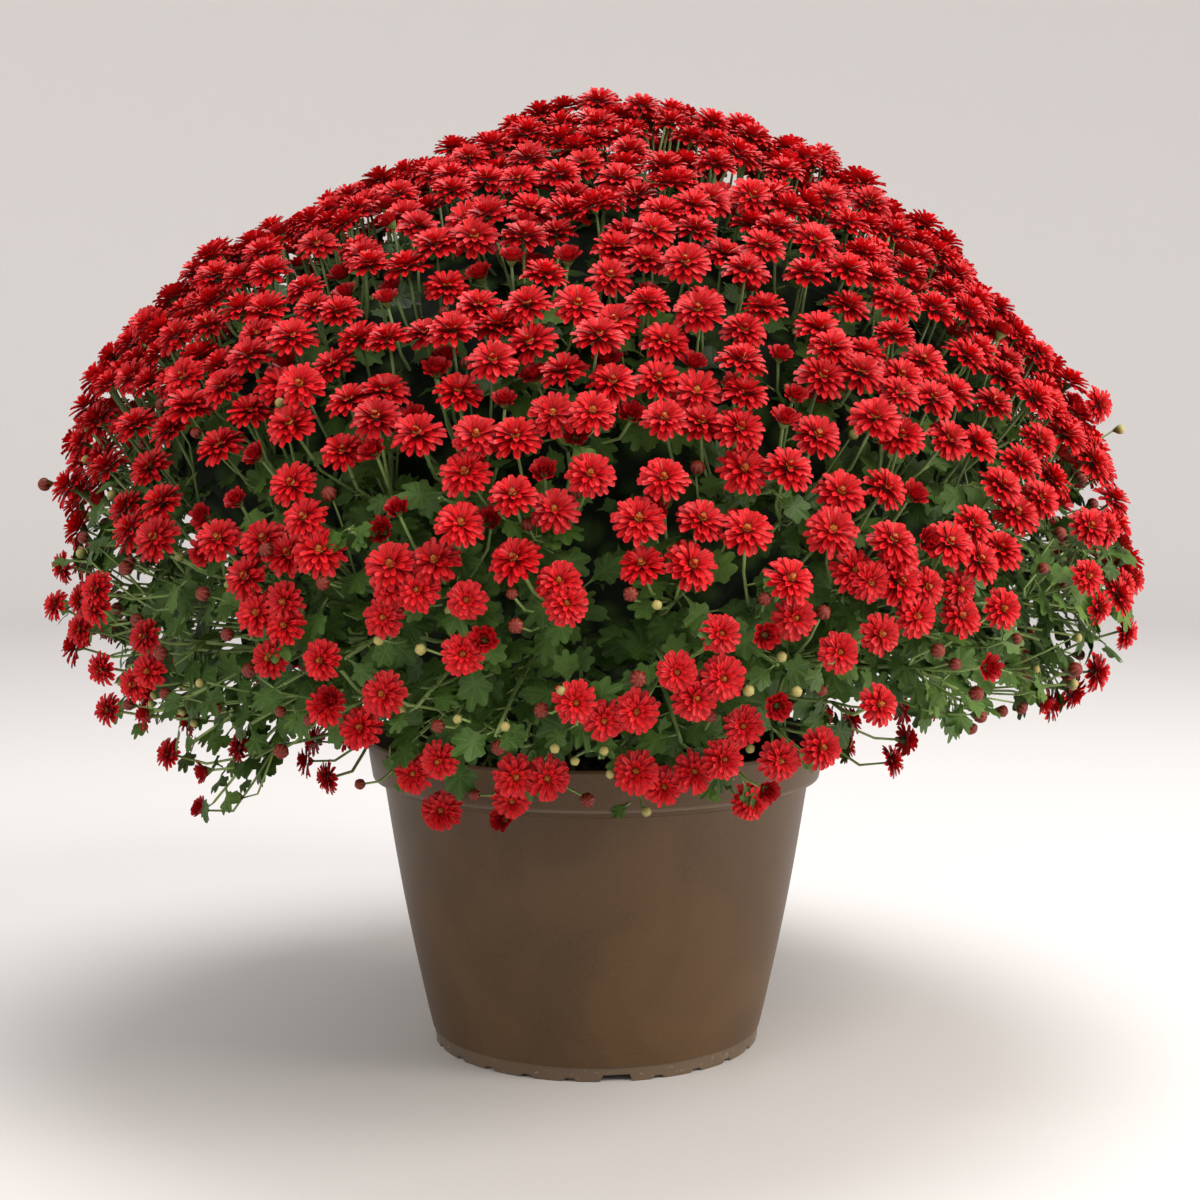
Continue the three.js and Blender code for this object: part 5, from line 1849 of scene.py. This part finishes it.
@dataclass
class NurseryPot:
    """A moulded pot with a rim band, a bulging wall and a notched foot ring. Sizes in mm."""

    height: float = 171
    rim_radius: float = 127
    band_height: float = 22.5
    band_step: float = 6
    body_top: float = 118
    body_bottom: float = 92
    bulge: float = 1.6
    foot_radius: float = 90.5
    foot_height: float = 8
    wall: float = 2.2
    floor_under: float = 4
    floor_thickness: float = 2.4
    turns: int = 288
    wall_steps: int = 12
    inner_steps: int = 6
    crease_deg: float = 32
    gate_azimuth: float = -83.5
    gate_pitch: float = 90
    gate_half_deg: float = 5.0
    gate_rise: float = 3.6
    notch_pitch: float = 15
    notch_half_deg: float = 1.9
    notch_rise: float = 1.6
    drain_holes: int = 8
    drain_radius: float = 6
    drain_circle: float = 66
    drain_sides: int = 20
    floor_sides: int = 64
    floor_overlap: float = 0.3

    def body_radius(self, height: float) -> float:
        """Returns the wall's outer radius at a height."""
        share = (height - self.foot_height) / (self.height - self.band_height - self.foot_height)
        return lerp(self.body_bottom, self.body_top, share) + self.bulge * math.sin(math.pi * share)

    def profile(self) -> list[tuple[float, float]]:
        """Returns the closed section of the wall, from the foot up the outside and down the inside."""
        band = self.height - self.band_height
        rim, wall = self.rim_radius, self.wall
        lip = self.body_top + self.band_step
        rows = [(self.foot_radius - wall + 0.4, 0.0), (self.foot_radius - 0.5, 0.0), (self.foot_radius, 0.5),
                (self.foot_radius + 0.45, self.foot_height - 0.7), (self.foot_radius + 0.5, self.foot_height),
                (self.foot_radius + 1.4, self.foot_height + 0.3)]
        for i in range(1, self.wall_steps + 1):
            height = lerp(self.foot_height, band - 3.4, i / self.wall_steps)
            rows.append((self.body_radius(height), height))
        rows += [(self.body_top - 0.1, band - 3.0), (self.body_top + 0.7, band - 2.7),
                 (self.body_top + 0.8, band), (lip - 0.8, band), (lip - 0.2, band + 0.3), (lip, band + 1.0),
                 (lerp(lip, rim, 0.55), band + 11), (rim - 0.3, self.height - 3), (rim, self.height - 1.8),
                 (rim - 0.5, self.height - 0.4), (rim - 1.4, self.height), (rim - 2.2, self.height - 0.4),
                 (rim - wall - 0.5, self.height - 2), (lip - wall - 0.2, band + 4),
                 (lip - wall - 1.4, band + 2.4), (self.body_top - wall + 0.2, band - 1)]
        for i in range(1, self.inner_steps + 1):
            height = lerp(band - 2, self.floor_under + self.floor_thickness, i / self.inner_steps)
            rows.append((self.body_radius(max(height, self.foot_height)) - wall, height))
        rows.append((self.foot_radius - wall, self.floor_under))
        return rows

    def foot_lift(self, azimuth_deg: float) -> float:
        """Returns how far a notch lifts the foot ring's edge at an azimuth."""
        turn = azimuth_deg - self.gate_azimuth
        for pitch, half_deg, rise in ((self.gate_pitch, self.gate_half_deg, self.gate_rise),
                                      (self.notch_pitch, self.notch_half_deg, self.notch_rise)):
            if abs((turn + pitch / 2) % pitch - pitch / 2) < half_deg:
                return rise
        return 0.0

    def wall_mesh(self) -> bpy.types.Mesh:
        """Makes the wall with its rim band and its notched foot ring."""
        section = [(radius * MM, height * MM) for radius, height in self.profile()]
        bm = turned(section, self.turns, closed=True)
        for vertex in bm.verts:
            if vertex.co.z < 1.0 * MM:
                azimuth = math.degrees(math.atan2(vertex.co.y, vertex.co.x))
                vertex.co.z += self.foot_lift(azimuth) * MM
        bmesh.ops.recalc_face_normals(bm, faces=list(bm.faces))
        return mesh_from(bm, "pot_wall")

    def floor_mesh(self) -> bpy.types.Mesh:
        """Makes the floor with its drain holes."""
        bm = bmesh.new()
        edge = (self.foot_radius - self.wall + self.floor_overlap) * MM
        bmesh.ops.create_circle(bm, segments=self.floor_sides, radius=edge)
        for i in range(self.drain_holes):
            angle = math.tau * (i + 0.5) / self.drain_holes
            place = Matrix.Translation((self.drain_circle * math.cos(angle) * MM,
                                        self.drain_circle * math.sin(angle) * MM, 0))
            bmesh.ops.create_circle(bm, segments=self.drain_sides, radius=self.drain_radius * MM,
                                    matrix=place)
        bmesh.ops.triangle_fill(bm, use_beauty=True, edges=list(bm.edges))
        bmesh.ops.translate(bm, verts=list(bm.verts), vec=UP * self.floor_under * MM)
        top = bmesh.ops.extrude_face_region(bm, geom=list(bm.faces))
        raised = [item for item in top["geom"] if isinstance(item, bmesh.types.BMVert)]
        bmesh.ops.translate(bm, verts=raised, vec=UP * self.floor_thickness * MM)
        bmesh.ops.recalc_face_normals(bm, faces=list(bm.faces))
        return mesh_from(bm, "pot_floor")

    def build(self, finish: bpy.types.Material) -> None:
        """Makes the pot and replaces its node."""
        whole = bmesh.new()
        whole.from_mesh(self.wall_mesh())
        whole.from_mesh(self.floor_mesh())
        for edge in whole.edges:
            if len(edge.link_faces) == 2 and edge.calc_face_angle() > math.radians(self.crease_deg):
                edge.smooth = False
        as_piece(mesh_from(whole, "nursery_pot"), "nursery_pot", [finish], ["pot"])


@dataclass
class Soil:
    """The crumbly top of the potting mix. Sizes in mm."""

    pot: NurseryPot
    edge_height: float = 152
    crown_height: float = 158
    gap: float = 0.4
    foot_taper: float = 3
    wall_heights: tuple[float, ...] = (30, 80, 120, 147)
    rings: int = 22
    turns: int = 88
    relief: float = 2.4
    relief_room: float = 2.6
    relief_above: float = 148
    lump: float = 7
    crumb: float = 3
    crumb_share: float = 0.6

    def section(self) -> list[tuple[float, float]]:
        """Returns the section from the middle of the floor up the wall and in over the top, in mm."""
        pot = self.pot
        floor_top = pot.floor_under + pot.floor_thickness + self.gap
        rows = [(0.0, floor_top), (pot.body_radius(pot.foot_height) - pot.wall - self.foot_taper, floor_top)]
        rows += [(pot.body_radius(z) - pot.wall - self.gap * 2, z) for z in self.wall_heights]
        outer = pot.body_top - pot.wall - self.gap * 2
        for share in (i / self.rings for i in range(self.rings + 1)):
            height = lerp(self.edge_height, self.crown_height, share) - self.relief_room
            rows.append((outer * (1 - share), height))
        return rows

    def build(self, finish: bpy.types.Material) -> None:
        """Makes the soil and replaces its node."""
        bm = turned([(radius * MM, height * MM) for radius, height in self.section()], self.turns)
        bmesh.ops.remove_doubles(bm, verts=list(bm.verts), dist=0.01 * MM)
        for vertex in bm.verts:
            if vertex.co.z > self.relief_above * MM:
                bumps = (noise.noise(vertex.co / (self.lump * MM))
                         + self.crumb_share * noise.noise(vertex.co / (self.crumb * MM)))
                vertex.co.z += self.relief * bumps * MM
        bmesh.ops.recalc_face_normals(bm, faces=list(bm.faces))
        as_piece(mesh_from(bm, "potting_mix"), "potting_mix", [finish], ["potting_soil"])


# The whole plant


@dataclass
class Chrysanthemum:
    """The potted plant: flowers, green and pot."""

    camera: StudioCamera
    dome: Dome = field(default_factory=Dome)
    heads: FlowerHead = field(default_factory=FlowerHead)
    stalks: Stalks = field(default_factory=Stalks)
    petioles: Stalks = field(default_factory=lambda: Stalks(3, 1))
    leaves: Leaves = field(default_factory=Leaves)
    seed: int = 5

    def build(self) -> None:
        """Builds and dresses every piece."""
        self.heads.build()
        self.stalks.build()
        self.petioles.build()
        self.leaves.build()
        petal = RayFloretFinish().build()
        disc = DiscFinish().build()
        stem = StemFinish().build()
        leaf = LeafFinish().build()
        red_bud = BudFinish("waxy_red_bud", "#480d09", "#6a130f", "#99572d").build()
        green_bud = BudFinish("waxy_green_bud", "#55692e", "#a9a060", "#84592f").build()
        inner = InnerFoliageFinish().build()
        flowers = FlowerPlan(self.dome, self.camera).build()
        LOG.info("flower heads and buds: %d", len(flowers))
        self.build_sprays(flowers, [petal, disc, stem, red_bud, green_bud])
        green = Foliage(self.dome, self.stalks, self.petioles, self.leaves)
        for index, bm in enumerate(green.build(flowers, self.camera)):
            self.finish_branch(bm, index, [leaf, stem, inner])
        pot = NurseryPot()
        pot.build(PotPlasticFinish().build())
        Soil(pot).build(PottingMixFinish().build())

    def build_sprays(self, flowers: list[Flower], finishes: list[bpy.types.Material]) -> None:
        """Makes one piece of each spray's flower heads."""
        rng = random.Random(self.seed)
        for spray in range(1, SPRAYS + 1):
            bm = bmesh.new()
            bm.loops.layers.uv.new("UVMap")
            for flower in flowers:
                if flower.spray == spray:
                    spin = Vector((rng.uniform(-1, 1), rng.uniform(-1, 1), rng.uniform(-1, 1)))
                    matrix = oriented(flower.point, flower.normal, spin, flower.size)
                    add_copy(bm, self.heads.pick(flower.stage, rng), matrix, flower.tint)
            as_piece(mesh_from(bm, f"spray_{spray:02d}"), f"spray_{spray:02d}", finishes,
                     [f"flower_spray_{spray:02d}"])

    def finish_branch(self, bm: bmesh.types.BMesh, index: int, finishes: list[bpy.types.Material]) -> None:
        """Makes one wedge of the green into a piece."""
        as_piece(mesh_from(bm, f"branch_{index + 1}"), f"branch_{index + 1}", finishes,
                 [f"leafy_branch_{index + 1}"])


def main() -> None:
    """Builds the camera, the studio and the plant."""
    logging.basicConfig(level=logging.INFO, format="%(name)s: %(message)s")
    camera = StudioCamera()
    camera.build()
    Studio().build()
    Chrysanthemum(camera).build()


if __name__ == "__main__":
    main()
